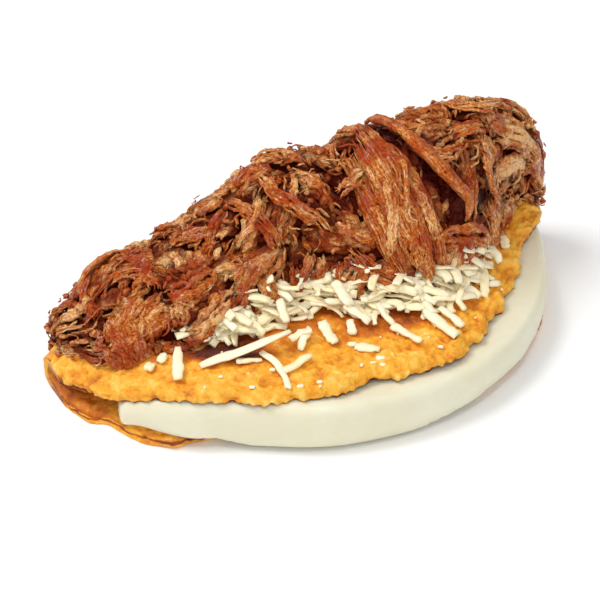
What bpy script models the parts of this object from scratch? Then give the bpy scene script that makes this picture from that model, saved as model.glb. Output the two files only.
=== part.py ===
"""A sweet corn griddle cake folded over a half moon of white cheese, under grated cheese and shredded beef.

X runs along the fold, -Y is the open curved front, Z is up. The origin is on the flat underside that the
cake rests on, midway along the fold and midway from front to back. All lengths are in metres.
"""

import math
import random

import bmesh
import bpy
from mathutils import Vector, noise

OBJECT_NAME = "filled_corn_cake"

# The layers' outlines: place along the fold, and how far forward of the fold line the edge is there
FOLD_Y = 0.042
HALF_LENGTH = 0.115
CAKE_ENDS = (-0.1126, 0.1144)
UPPER_OUTLINE = (
    (-0.1150, 0.0040), (-0.1130, 0.0120), (-0.1090, 0.0220), (-0.1030, 0.0385), (-0.0980, 0.0465),
    (-0.0935, 0.0525), (-0.0850, 0.0600), (-0.0770, 0.0650), (-0.0600, 0.0740), (-0.0430, 0.0805),
    (-0.0270, 0.0840), (-0.0100, 0.0855), (0.0050, 0.0865), (0.0200, 0.0865), (0.0300, 0.0840),
    (0.0400, 0.0785), (0.0500, 0.0715), (0.0600, 0.0635), (0.0700, 0.0535), (0.0800, 0.0420),
    (0.0900, 0.0315), (0.1000, 0.0225), (0.1080, 0.0140), (0.1130, 0.0065), (0.1150, 0.0030),
)
LOWER_OUTLINE = (
    (-0.1150, 0.0060), (-0.1130, 0.0150), (-0.1105, 0.0240), (-0.1060, 0.0340), (-0.1020, 0.0410),
    (-0.0970, 0.0495), (-0.0920, 0.0550), (-0.0860, 0.0590), (-0.0790, 0.0610), (-0.0700, 0.0615),
    (-0.0600, 0.0645), (-0.0450, 0.0730), (-0.0300, 0.0790), (-0.0120, 0.0835), (0.0050, 0.0855),
    (0.0200, 0.0855), (0.0350, 0.0835), (0.0500, 0.0790), (0.0620, 0.0730), (0.0760, 0.0620),
    (0.0880, 0.0495), (0.0960, 0.0385), (0.1020, 0.0280), (0.1080, 0.0170), (0.1130, 0.0075),
    (0.1150, 0.0035),
)
SLAB_OUTLINE = (
    (-0.1085, 0.0090), (-0.1040, 0.0210), (-0.0995, 0.0310), (-0.0970, 0.0365), (-0.0920, 0.0460),
    (-0.0860, 0.0555), (-0.0795, 0.0625), (-0.0700, 0.0690), (-0.0610, 0.0755), (-0.0450, 0.0855),
    (-0.0350, 0.0905), (-0.0240, 0.0940), (-0.0120, 0.0962), (0.0000, 0.0973), (0.0150, 0.0966),
    (0.0310, 0.0935), (0.0490, 0.0863), (0.0600, 0.0798), (0.0760, 0.0656), (0.0885, 0.0505),
    (0.0940, 0.0415), (0.1020, 0.0265), (0.1070, 0.0145), (0.1110, 0.0040),
)
EDGE_RELIEF = 0.0022
EDGE_SCALE = 0.011
EDGE_CALM = 0.03

# The folded cake's thickness, and the room between its layers
LOWER_THICK = 0.007
LOWER_SLOPE = 0.016
LOWER_EDGE = 0.60
UPPER_THICK = 0.0085
UPPER_SLOPE = 0.026
UPPER_EDGE = 0.50
LAYER_SPACE = 0.0146
LEFT_SPACE = (0.36, -0.080)
RIGHT_SPACE = (0.80, 0.100)
END_THICK = 0.42
LEFT_TAPER = 0.022
RIGHT_TAPER = 0.012
BEND_FLATNESS = 0.8
CRUMB_RELIEF = 0.0009
CRUMB_SCALE = 0.012
SECTION_COUNT = 42
SECTION_EVENNESS = 0.45

# The cheese slab between the layers, which overhangs the lower one in front
SLAB_ENDS = (-0.1075, 0.1105)
SLAB_BACK = 0.18
SLAB_INNER = 0.0006
SLAB_RIM = 0.0066
SLAB_FOOT = 0.0015
SLAB_DROP_RUN = 0.004
SLAB_RIM_SHAPE = ((0.45, 0.02), (0.15, 0.16), (0.0, 0.38), (0.09, 0.60), (0.36, 0.80), (0.79, 0.94))

# Room left between touching pieces
CLEARANCE = 0.0004

# Thickness of a shred or strip as a share of its width
FLATNESS = 0.62
UP = Vector((0.0, 0.0, 1.0))

# The beef heap: place along the fold, crest height, front toe and back toe from the fold line
HEAP_STATIONS = (
    (-0.1120, 0.0270, 0.002, 0.000),
    (-0.1020, 0.0380, 0.010, 0.010),
    (-0.0950, 0.0440, 0.028, 0.012),
    (-0.0800, 0.0550, 0.036, 0.014),
    (-0.0600, 0.0580, 0.041, 0.015),
    (-0.0350, 0.0720, 0.040, 0.016),
    (0.0000, 0.0810, 0.041, 0.017),
    (0.0300, 0.0830, 0.050, 0.017),
    (0.0550, 0.0830, 0.046, 0.017),
    (0.0750, 0.0810, 0.033, 0.016),
    (0.0950, 0.0730, 0.019, 0.014),
    (0.1100, 0.0600, 0.010, 0.010),
    (0.1180, 0.0380, 0.004, 0.002),
)
HEAP_START = HEAP_STATIONS[0][0]
HEAP_SPAN = HEAP_STATIONS[-1][0] - HEAP_START
HEAP_CREST = 0.004
HEAP_BACK_FOOT = 0.62
HEAP_BUMPS = 0.11
HEAP_ARC = 0.105
CORE_SHARE = 0.93
CORE_SECTIONS = 20
CORE_STEPS = 13
SHRED_COUNT = 70
SHRED_STEPS = 5
SHRED_SIDES = 5
SHRED_LENGTHS = (0.026, 0.054)
SHRED_WIDTHS = (0.0050, 0.0084)

# Share of the triangles kept after each heap's joins
SHREDS_KEPT = 0.60
STRIPS_KEPT = 0.66

# The grated cheese: a low bank along the beef's front toe
BANK_FROM = -0.062
BANK_TO = 0.078
BANK_HEIGHT = 0.0033
BANK_SECTIONS = 16
BANK_HALF_WIDTH = 0.0075
BANK_SHAPE = ((-0.9, 0.5), (-0.3, 1.0), (0.35, 0.9), (0.9, 0.4))
STRIP_COUNT = 30
STRIP_STEPS = 4
STRIP_SIDES = 6
STRIP_LENGTHS = (0.012, 0.030)
STRIP_WIDTHS = (0.0032, 0.0044)


def clear_scene():
    for thing in list(bpy.data.objects):
        bpy.data.objects.remove(thing, do_unlink=True)


def new_collection(name):
    collection = bpy.data.collections.new(name)
    bpy.context.scene.collection.children.link(collection)
    return collection


def material(name, colour, roughness):
    made = bpy.data.materials.new(name)
    made.use_nodes = True
    shader = made.node_tree.nodes["Principled BSDF"]
    shader.inputs["Base Color"].default_value = (*colour, 1.0)
    shader.inputs["Roughness"].default_value = roughness
    shader.inputs["Metallic"].default_value = 0.0
    return made


def mix(a, b, part):
    return a + (b - a) * part


def ease(start, end, value):
    part = min(1.0, max(0.0, (value - start) / (end - start)))
    return part * part * (3.0 - 2.0 * part)


def wobble(x, y, scale, seed):
    return noise.noise(Vector((x / scale, y / scale, seed)))


def loft(name, sections, collection, finish):
    """A closed solid through rings of points, all with the same count."""
    mesh = bmesh.new()
    rings = [[mesh.verts.new(point) for point in section] for section in sections]
    count = len(rings[0])
    for ring, following in zip(rings, rings[1:]):
        for index in range(count):
            after = (index + 1) % count
            mesh.faces.new((ring[index], ring[after], following[after], following[index]))
    mesh.faces.new(rings[0][::-1])
    mesh.faces.new(rings[-1])
    bmesh.ops.triangulate(mesh, faces=mesh.faces[:], ngon_method="EAR_CLIP")
    bmesh.ops.recalc_face_normals(mesh, faces=mesh.faces[:])
    data = bpy.data.meshes.new(name)
    mesh.to_mesh(data)
    mesh.free()
    data.materials.append(finish)
    made = bpy.data.objects.new(name, data)
    collection.objects.link(made)
    return made


def as_cutter(source, name, collection, grow):
    """A copy of a solid, swollen along its normals, that clears room round the original."""
    data = source.data.copy()
    normals = [vertex.normal.copy() for vertex in data.vertices]
    for vertex, normal in zip(data.vertices, normals):
        vertex.co += normal * grow
    cutter = bpy.data.objects.new(name, data)
    cutter.hide_render = True
    cutter.display_type = "WIRE"
    collection.objects.link(cutter)
    return cutter


def apply_modifiers(target):
    graph = bpy.context.evaluated_depsgraph_get()
    graph.update()
    data = bpy.data.meshes.new_from_object(target.evaluated_get(graph))
    target.modifiers.clear()
    target.data = data


def use_boolean(target, operation, other=None, group=None):
    """Apply one Boolean with an object or a whole collection of closed solids."""
    modifier = target.modifiers.new(operation.lower(), "BOOLEAN")
    modifier.operation = operation
    modifier.solver = "MANIFOLD"
    if group is None:
        modifier.object = other
    else:
        modifier.operand_type = "COLLECTION"
        modifier.collection = group
    apply_modifiers(target)


def thin_out(target, share):
    """Keep this share of the triangles, losing the slivers along the joins first."""
    modifier = target.modifiers.new("thin_out", "DECIMATE")
    modifier.decimate_type = "COLLAPSE"
    modifier.ratio = share
    modifier.use_collapse_triangulate = True
    apply_modifiers(target)


def keep_main_body(target):
    """Drop loose scraps and sealed hollows, also those that hang on by one edge."""
    mesh = bmesh.new()
    mesh.from_mesh(target.data)
    bmesh.ops.triangulate(mesh, faces=mesh.faces[:])
    unseen = set(mesh.faces)
    bodies = []
    while unseen:
        front = [unseen.pop()]
        body = list(front)
        while front:
            for edge in front.pop().edges:
                if len(edge.link_faces) != 2:
                    continue
                for face in edge.link_faces:
                    if face in unseen:
                        unseen.remove(face)
                        front.append(face)
                        body.append(face)
        bodies.append(body)
    bodies.sort(key=len, reverse=True)
    scraps = [face for body in bodies[1:] for face in body]
    bmesh.ops.delete(mesh, geom=scraps, context="FACES")
    loose = [vertex for vertex in mesh.verts if not vertex.link_faces]
    bmesh.ops.delete(mesh, geom=loose, context="VERTS")
    mesh.to_mesh(target.data)
    mesh.free()


def reach(x, outline):
    """How far forward an edge runs at x, on a smooth curve through the outline's places."""
    after = next((index for index, place in enumerate(outline) if place[0] > x), len(outline) - 1)
    after = max(1, after)
    (x_0, f_0), (x_1, f_1) = outline[after - 1], outline[after]
    slopes = []
    for index in (after - 1, after):
        behind, ahead = outline[max(0, index - 1)], outline[min(len(outline) - 1, index + 1)]
        slopes.append((ahead[1] - behind[1]) / (ahead[0] - behind[0]))
    run = x_1 - x_0
    part = min(1.0, max(0.0, (x - x_0) / run))
    return (
        f_0 * (1.0 + 2.0 * part) * (1.0 - part) ** 2 + f_1 * part ** 2 * (3.0 - 2.0 * part)
        + run * part * (1.0 - part) * (slopes[0] * (1.0 - part) - slopes[1] * part)
    )


def uneven(x, plain, seed):
    """An edge's unevenness, which dies out where the layer runs into the bend."""
    return EDGE_RELIEF * wobble(x, 0.0, EDGE_SCALE, seed) * min(1.0, plain / EDGE_CALM)


def upper_reach(x):
    plain = reach(x, UPPER_OUTLINE)
    return plain + uneven(x, plain, 3.0)


def lower_reach(x):
    plain = reach(x, LOWER_OUTLINE)
    return plain + 0.5 * uneven(x, plain, 8.0)


def slab_reach(x):
    return reach(x, SLAB_OUTLINE)


def end_taper(x):
    """Full in the middle of the fold, and thin at its two ends."""
    left = math.sqrt(max(0.0, (HALF_LENGTH + x) / LEFT_TAPER))
    right = math.sqrt(max(0.0, (HALF_LENGTH - x) / RIGHT_TAPER))
    return mix(END_THICK, 1.0, min(1.0, left, right))


def layer_space(x):
    """The room between the two layers, lower at the left end of the fold."""
    left = mix(LEFT_SPACE[0], 1.0, ease(-HALF_LENGTH, LEFT_SPACE[1], x))
    right = mix(1.0, RIGHT_SPACE[0], ease(RIGHT_SPACE[1], HALF_LENGTH, x))
    return LAYER_SPACE * left * right


def lower_top(x, forward):
    """Height of the lower layer's upper face, thinner towards its edge."""
    rim = min(1.0, max(0.0, lower_reach(x) - forward) / LOWER_SLOPE)
    return LOWER_THICK * end_taper(x) * mix(LOWER_EDGE, 1.0, rim)


def slope_start(x):
    """Where the lower layer starts to thin, measured forward from the fold line."""
    return max(lower_reach(x) - LOWER_SLOPE, 0.3 * lower_reach(x))


def upper_base(x):
    return LOWER_THICK * end_taper(x) + layer_space(x)


def upper_top(x, forward):
    """Height of the upper flap's crumbly top, which slopes down to its edge."""
    rim = min(1.0, max(0.0, upper_reach(x) - forward) / UPPER_SLOPE) ** 0.7
    coarse = wobble(x, forward, CRUMB_SCALE, 1.0)
    fine = wobble(x, forward, 0.5 * CRUMB_SCALE, 2.0)
    crumb = CRUMB_RELIEF * (coarse + 0.6 * fine)
    return upper_base(x) + UPPER_THICK * end_taper(x) * mix(UPPER_EDGE, 1.0, rim) + crumb


def cake_section(x):
    """One cut across the fold: along the underside, round the back, over the top and home inside."""
    low = lower_reach(x)
    up = upper_reach(x)
    base = upper_base(x)
    floor = LOWER_THICK * end_taper(x)
    low_edge = lower_top(x, low)
    edge_thick = upper_top(x, up) - base
    points = [(low - 0.30 * low_edge, 0.0)]
    points += [(low * part, 0.0) for part in (0.80, 0.55, 0.28, 0.0)]
    outer = 0.5 * upper_top(x, 0.0)
    for step in range(1, 8):
        angle = math.pi * step / 8.0
        bulge = 1.0 + 0.05 * wobble(x, angle, 0.02, 5.0)
        points.append((-outer * BEND_FLATNESS * math.sin(angle) * bulge, outer * (1.0 - math.cos(angle))))
    flap_stops = (0.0, 0.12, 0.26, 0.40, 0.52, 0.63, 0.73, 0.81, 0.88, 0.94)
    points += [(up * part, upper_top(x, up * part)) for part in flap_stops]
    points.append((up - 0.15 * edge_thick, base + 0.82 * edge_thick))
    points.append((up, base + 0.45 * edge_thick))
    points.append((up - 0.25 * edge_thick, base + 0.08 * edge_thick))
    points += [(up * part, base) for part in (0.90, 0.66, 0.33, 0.0)]
    inner = 0.5 * (base - floor)
    for step in range(1, 4):
        angle = math.pi * step / 4.0
        points.append((-inner * BEND_FLATNESS * math.sin(angle), base - inner * (1.0 - math.cos(angle))))
    slope_from = slope_start(x)
    stops = [0.0, 0.5 * slope_from, slope_from]
    stops += [mix(slope_from, low, part) for part in (0.45, 0.78)]
    points += [(forward, lower_top(x, forward)) for forward in stops]
    points.append((low - 0.25 * low_edge, 0.92 * low_edge))
    points.append((low, 0.45 * low_edge))
    return [Vector((x, FOLD_Y - forward, height)) for forward, height in points]


def section_places(start, end, count, even=0.0):
    """Places along X, closer together towards both ends, the less so the larger even is."""
    middle = 0.5 * (start + end)
    half = 0.5 * (end - start)
    places = []
    for step in range(count + 1):
        crowded = -math.cos(math.pi * step / count)
        places.append(middle + half * mix(crowded, 2.0 * step / count - 1.0, even))
    return places


def cake_places():
    return section_places(*CAKE_ENDS, SECTION_COUNT, SECTION_EVENNESS)


def build_cake(collection, finish):
    sections = [cake_section(x) for x in cake_places()]
    return loft("corn_cake", sections, collection, finish)


def slab_section(x):
    """One cut across the cheese, which hangs down in front of the lower layer where it overhangs."""
    front = slab_reach(x)
    low = lower_reach(x)
    top = upper_base(x) - CLEARANCE
    back = -SLAB_BACK * layer_space(x)
    rim = min(SLAB_RIM, 0.6 * (front - SLAB_INNER))
    step_out = min(low + 2.0 * CLEARANCE, front - rim)
    step_down = min(low + 4.0 * CLEARANCE, front - 0.85 * rim)
    drop = min(1.0, max(0.0, front - rim - (low + 4.0 * CLEARANCE)) / SLAB_DROP_RUN)
    foot = mix(lower_top(x, step_down) + CLEARANCE, SLAB_FOOT, drop)
    back_low = lower_top(x, 0.0) + CLEARANCE
    tall = top - foot
    points = [(back, mix(back_low, top, 0.30)), (SLAB_INNER, back_low)]
    slope_from = max(mix(SLAB_INNER, step_out, 0.4), min(slope_start(x), step_out - 0.004))
    for forward in (0.5 * slope_from, slope_from, mix(slope_from, step_out, 0.5), step_out):
        points.append((forward, lower_top(x, forward) + CLEARANCE))
    points.append((step_down, foot))
    for inset, rise in SLAB_RIM_SHAPE:
        points.append((front - inset * rim, foot + rise * tall))
    for part in (1.0, 0.88, 0.66, 0.33, 0.0):
        points.append((mix(SLAB_INNER, front - 1.3 * rim, part), top))
    points.append((back, mix(back_low, top, 0.70)))
    return [Vector((x, FOLD_Y - forward, height)) for forward, height in points]


def build_slab(collection, finish):
    """The slab's sections stand at the cake's own, so that the two stay apart between them too."""
    left, right = SLAB_ENDS
    inside = [x for x in cake_places() if left + 0.002 < x < right - 0.002]
    sections = [slab_section(x) for x in (left, *inside, right)]
    return loft("cheese_slab", sections, collection, finish)


def heap_station(x):
    """Crest height, front toe and back toe of the beef heap at x."""
    for before, after in zip(HEAP_STATIONS, HEAP_STATIONS[1:]):
        if x <= after[0]:
            part = (x - before[0]) / (after[0] - before[0])
            return [mix(a, b, part) for a, b in zip(before[1:], after[1:])]
    return list(HEAP_STATIONS[-1][1:])


def over_cake(x):
    """The nearest place to x that the cake reaches, for a heap that overhangs its ends."""
    limit = HALF_LENGTH - 0.004
    return min(limit, max(-limit, x))


def flap_middle(x, forward):
    """Height of the middle of the upper flap's thickness, also round the bend behind the fold line."""
    top = upper_top(x, max(0.0, forward))
    base = upper_base(x)
    if forward >= 0.0:
        return 0.5 * (top + base)
    floor = LOWER_THICK * end_taper(x)
    centre = 0.5 * (base + floor)
    radius = 0.25 * (top + base - floor)
    return centre + radius * math.sqrt(max(0.0, 1.0 - (forward / (BEND_FLATNESS * radius)) ** 2))


def heap_point(along, across, swell=1.0):
    """A point of the heap. Along and across run 0 to 1: left to right, and front toe to back toe."""
    x = HEAP_START + HEAP_SPAN * along
    crest, front_toe, back_toe = heap_station(x)
    angle = math.pi * across
    spread = swell * (1.0 + HEAP_BUMPS * wobble(x, across * 0.09, 0.020, 11.0))
    if across < 0.5:
        foot = flap_middle(over_cake(x), front_toe)
        forward = HEAP_CREST + (front_toe - HEAP_CREST) * math.cos(angle) * spread
        height = foot + (crest - foot) * math.sin(angle) ** 0.9 * spread
    else:
        foot = HEAP_BACK_FOOT * upper_top(over_cake(x), 0.0)
        forward = HEAP_CREST + (HEAP_CREST + back_toe) * math.cos(angle) * spread
        height = foot + (crest - foot) * math.sin(angle) * spread
    return Vector((x, FOLD_Y - forward, height))


def heap_normal(along, across):
    step = 0.01
    ahead = heap_point(min(1.0, along + step), across) - heap_point(max(0.0, along - step), across)
    aside = heap_point(along, min(1.0, across + step)) - heap_point(along, max(0.0, across - step))
    return aside.cross(ahead).normalized()


def heap_core(collection, finish):
    """The bare heap under the shreds. Its underside is cut to the cake afterwards."""
    sections = []
    for along in section_places(0.004, 0.996, CORE_SECTIONS):
        ring = [heap_point(along, step / CORE_STEPS, CORE_SHARE) for step in range(CORE_STEPS + 1)]
        x = ring[0].x
        front = FOLD_Y - ring[0].y
        cake_x = over_cake(x)
        behind = -0.28 * upper_top(cake_x, 0.0)
        lift = 0.35 * upper_top(cake_x, 0.0) * ease(0.104, 0.114, abs(x))
        for forward in (behind, 0.0, 0.4 * front, 0.8 * front):
            ring.append(Vector((x, FOLD_Y - forward, flap_middle(cake_x, forward) + lift)))
        sections.append(ring)
    return loft("shredded_beef", sections, collection, finish)


def strand(name, path, widths, flatness, sides, facing, collection, finish):
    """A shred or strip: flattened rings along a path, their flat side towards facing."""
    rings = []
    for index, point in enumerate(path):
        before = path[max(0, index - 1)]
        after = path[min(len(path) - 1, index + 1)]
        tangent = (after - before).normalized()
        side = tangent.cross(facing).normalized()
        lift = side.cross(tangent).normalized() * flatness
        ring = []
        for corner in range(sides):
            angle = 2.0 * math.pi * corner / sides
            offset = side * math.cos(angle) + lift * math.sin(angle)
            ring.append(point + offset * 0.5 * widths[index])
        rings.append(ring)
    return loft(name, rings, collection, finish)


def spread_values(index, count):
    """Evenly spread pairs of numbers between 0 and 1."""
    return (index + 0.5) / count, (index * 0.6180339887) % 1.0


def add_shreds(group, finish, draw):
    """Thick shreds lying over the heap, their ends sunk in it."""
    for index in range(SHRED_COUNT):
        along, across = spread_values(index, SHRED_COUNT)
        across = mix(0.03, 0.93, across ** 1.15)
        heading = draw.uniform(-1.1, 1.1)
        bend = draw.uniform(-0.8, 0.8)
        length = draw.uniform(*SHRED_LENGTHS)
        width = draw.uniform(*SHRED_WIDTHS)
        proud = draw.uniform(0.0012, 0.0034)
        path = []
        widths = []
        for step in range(SHRED_STEPS + 1):
            part = step / SHRED_STEPS
            turn = heading + bend * (part - 0.5)
            run = length * (part - 0.5)
            here_along = along + run * math.cos(turn) / HEAP_SPAN
            here_across = across + run * math.sin(turn) / HEAP_ARC
            here_along = min(0.985, max(0.015, here_along))
            here_across = min(0.97, max(0.015, here_across))
            rise = proud * math.sin(math.pi * part) - 0.0012 + draw.uniform(-0.0006, 0.0006)
            path.append(heap_point(here_along, here_across) + heap_normal(here_along, here_across) * rise)
            widths.append(width * mix(0.55, 1.0, math.sin(math.pi * mix(0.12, 0.88, part))))
        if (path[-1] - path[0]).length > 0.4 * length:
            facing = heap_normal(along, across)
            strand(f"shred_{index}", path, widths, FLATNESS, SHRED_SIDES, facing, group, finish)


def bank_line(x):
    """Forward place of the grated cheese's middle at x, just past the beef's front toe."""
    return min(heap_station(x)[1] + 0.006, upper_reach(x) - 0.009)


def bank_core(collection, finish):
    """The low bank under the strips. Its underside is cut to the cake afterwards."""
    sections = []
    for x in section_places(BANK_FROM, BANK_TO, BANK_SECTIONS):
        middle = bank_line(x)
        place = 2.0 * (x - BANK_FROM) / (BANK_TO - BANK_FROM) - 1.0
        fade = math.sqrt(max(0.05, 1.0 - place * place))
        foot = upper_top(x, middle) - 0.003
        height = BANK_HEIGHT * fade + 0.003
        half = BANK_HALF_WIDTH * fade + 0.001
        ring = [Vector((x, FOLD_Y - middle + half, foot))]
        for forward, level in BANK_SHAPE:
            ring.append(Vector((x, FOLD_Y - middle - forward * half, foot + height * level)))
        ring.append(Vector((x, FOLD_Y - middle - half, foot)))
        sections.append(ring)
    return loft("grated_cheese", sections, collection, finish)


def add_strips(group, finish, draw):
    """Grated strips lying across the bank at all angles, some reaching out over the flap."""
    for index in range(STRIP_COUNT):
        along, aside = spread_values(index, STRIP_COUNT)
        x = mix(BANK_FROM + 0.004, BANK_TO - 0.004, along)
        length = draw.uniform(*STRIP_LENGTHS)
        width = draw.uniform(*STRIP_WIDTHS)
        heading = draw.uniform(-1.4, 1.4)
        bend = draw.uniform(-0.5, 0.5)
        middle = bank_line(x) + mix(-0.004, 0.009, aside)
        raise_up = draw.uniform(0.0012, 0.0042) * (1.0 - 0.6 * aside)
        path = []
        for step in range(STRIP_STEPS + 1):
            part = step / STRIP_STEPS
            turn = heading + bend * (part - 0.5)
            run = length * (part - 0.5)
            place = x + run * math.cos(turn)
            forward = middle + run * math.sin(turn)
            forward = min(forward, upper_reach(place) - 0.006)
            bow = 0.0012 * math.sin(math.pi * part)
            path.append(Vector((place, FOLD_Y - forward, upper_top(place, forward) + raise_up + bow)))
        widths = [width] * (STRIP_STEPS + 1)
        strand(f"strip_{index}", path, widths, FLATNESS, STRIP_SIDES, UP, group, finish)


def remove_collection(collection):
    for thing in list(collection.objects):
        bpy.data.objects.remove(thing, do_unlink=True)
    bpy.data.collections.remove(collection)


def build_grated(parts, cake_cutter, room, finish):
    """The grated cheese as one solid, and in room the swollen copies that keep the beef off it."""
    heap = bank_core(parts, finish)
    group = new_collection("strips")
    add_strips(group, finish, random.Random(21))
    for piece in (heap, *group.objects):
        as_cutter(piece, f"room_round_{piece.name}", room, 2.0 * CLEARANCE)
    use_boolean(heap, "UNION", group=group)
    remove_collection(group)
    use_boolean(heap, "DIFFERENCE", other=cake_cutter)
    thin_out(heap, STRIPS_KEPT)
    keep_main_body(heap)


def build_beef(parts, cake_cutter, room, finish):
    heap = heap_core(parts, finish)
    group = new_collection("shreds")
    add_shreds(group, finish, random.Random(7))
    use_boolean(heap, "UNION", group=group)
    remove_collection(group)
    use_boolean(heap, "DIFFERENCE", other=cake_cutter)
    use_boolean(heap, "DIFFERENCE", group=room)
    thin_out(heap, SHREDS_KEPT)
    keep_main_body(heap)


def main():
    clear_scene()
    parts = new_collection(OBJECT_NAME)
    cutters = new_collection("cutters")
    room = new_collection("room_round_grated_cheese")
    corn = material("browned_corn", (0.80, 0.42, 0.07), 0.6)
    white = material("white_cheese", (0.86, 0.82, 0.68), 0.35)
    grated = material("grated_cheese", (0.92, 0.84, 0.60), 0.4)
    beef = material("braised_beef", (0.33, 0.10, 0.03), 0.45)
    cake = build_cake(parts, corn)
    build_slab(parts, white)
    cake_cutter = as_cutter(cake, "room_over_cake", cutters, 1.3 * CLEARANCE)
    build_grated(parts, cake_cutter, room, grated)
    build_beef(parts, cake_cutter, room, beef)


main()
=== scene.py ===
import math

import bpy
import numpy as np
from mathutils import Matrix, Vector


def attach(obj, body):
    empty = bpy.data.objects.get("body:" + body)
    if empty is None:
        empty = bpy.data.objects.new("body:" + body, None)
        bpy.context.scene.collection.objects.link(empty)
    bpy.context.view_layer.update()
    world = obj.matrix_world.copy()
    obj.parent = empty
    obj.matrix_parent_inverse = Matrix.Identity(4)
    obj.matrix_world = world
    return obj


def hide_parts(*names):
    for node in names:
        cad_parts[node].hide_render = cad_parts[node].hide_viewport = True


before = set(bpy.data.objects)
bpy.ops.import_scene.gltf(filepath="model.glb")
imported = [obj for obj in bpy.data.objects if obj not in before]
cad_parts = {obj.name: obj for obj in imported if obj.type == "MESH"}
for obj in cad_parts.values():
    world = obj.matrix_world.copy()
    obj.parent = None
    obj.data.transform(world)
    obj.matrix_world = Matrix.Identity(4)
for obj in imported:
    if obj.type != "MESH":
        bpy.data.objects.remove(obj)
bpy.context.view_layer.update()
bpy.ops.object.select_all(action="DESELECT")
print("frame loaded")


# Shader wiring

class Wire:  # a socket that adds a Math node for each operator used on it
    def __init__(self, finish, socket):
        self.finish = finish
        self.socket = socket

    def maths(self, operation, *values):
        return self.finish.node("ShaderNodeMath", {"operation": operation}, dict(enumerate(values)))

    def __add__(self, other):
        return self.maths("ADD", self, other)

    def __sub__(self, other):
        return self.maths("SUBTRACT", self, other)

    def __rsub__(self, other):
        return self.maths("SUBTRACT", other, self)

    def __mul__(self, other):
        return self.maths("MULTIPLY", self, other)

    __radd__ = __add__
    __rmul__ = __mul__


class Finish:  # one material, built node by node
    def __init__(self, name, **fixed):
        self.material = bpy.data.materials.new(name)
        self.material.use_nodes = True
        self.tree = self.material.node_tree
        self.shader = self.tree.nodes["Principled BSDF"]
        for key, value in fixed.items():
            self.shader.inputs[key.replace("_", " ")].default_value = value

    def node(self, kind, settings=None, values=None, output=0):
        made = self.tree.nodes.new(kind)
        for key, value in (settings or {}).items():
            if key == "stops":
                self.setStops(made.color_ramp, value)
            else:
                setattr(made, key, value)
        for key, value in (values or {}).items():
            if isinstance(value, Wire):
                self.tree.links.new(value.socket, made.inputs[key])
            else:
                made.inputs[key].default_value = value
        return Wire(self, made.outputs[output])

    def setStops(self, ramp, stops):
        while len(ramp.elements) < len(stops):
            ramp.elements.new(1.0)
        for element, (place, colour) in zip(ramp.elements, stops):
            element.position = place
            element.color = (*colour, 1.0)

    def attribute(self, name, output=2):  # output 1 gives its vector and 2 its number
        return self.node("ShaderNodeAttribute", {"attribute_name": name}, output=output)

    def noise(self, vector, scale, detail=2.0, rough=0.5):
        return self.node("ShaderNodeTexNoise", None,
                         {"Vector": vector, "Scale": scale, "Detail": detail, "Roughness": rough})

    def band(self, value, low, high):  # 0 below low, 1 above high
        return self.node("ShaderNodeMapRange", {"interpolation_type": "SMOOTHSTEP"},
                         {"Value": value, "From Min": low, "From Max": high})

    def blend(self, part, first, second):  # a colour between two
        def paint(value):
            return value if isinstance(value, Wire) else (*value, 1.0)
        return self.node("ShaderNodeMix", {"data_type": "RGBA"},
                         {0: part, 6: paint(first), 7: paint(second)}, output=2)

    def feed(self, name, value):
        self.tree.links.new(value.socket, self.shader.inputs[name])

    def bump(self, height, distance, strength=1.0):
        made = self.node("ShaderNodeBump", None,
                         {"Height": height, "Distance": distance, "Strength": strength})
        self.feed("Normal", made)


# Shaping helpers

upward = np.array([0.0, 0.0, 1.0])


def mix(a, b, part):
    return a + (b - a) * part


def ease(start, end, value):
    part = np.clip((value - start) / (end - start), 0.0, 1.0)
    return part * part * (3.0 - 2.0 * part)


def lumps(points, scale, seed):  # smooth random values from -1 to 1, as wide as scale
    cells = np.asarray(points, float) / scale + 31.7 * seed
    base = np.floor(cells).astype(np.int64)
    part = cells - base
    part = part * part * (3.0 - 2.0 * part)
    total = 0.0
    for corner in range(8):
        step = np.array([corner & 1, corner >> 1 & 1, corner >> 2 & 1])
        key = (base + step) @ np.array([73856093, 19349663, 83492791])
        value = np.mod(np.sin(np.mod(key, 1000003) * 12.9898) * 43758.5453, 1.0)
        total = total + value * np.prod(np.where(step == 1, part, 1.0 - part), axis=-1)
    return 2.0 * total - 1.0


def store(mesh, key, values):  # one number or one vector for each vertex
    kind, field = ("FLOAT", "value") if np.ndim(values) == 1 else ("FLOAT_VECTOR", "vector")
    layer = mesh.attributes.get(key) or mesh.attributes.new(key, kind, "POINT")
    layer.data.foreach_set(field, np.asarray(values, np.float32).ravel())


def vectorsIn(data, field):
    values = np.empty(len(data) * 3, np.float32)
    data.foreach_get(field, values)
    return values.reshape(-1, 3).astype(float)


def coordinates(piece):
    return vectorsIn(piece.data.vertices, "co")


def pushOut(piece, amounts):  # move each vertex along its normal
    mesh = piece.data
    moved = coordinates(piece) + vectorsIn(mesh.vertex_normals, "vector") * amounts[:, None]
    mesh.vertices.foreach_set("co", moved.astype(np.float32).ravel())
    mesh.update()


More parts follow.
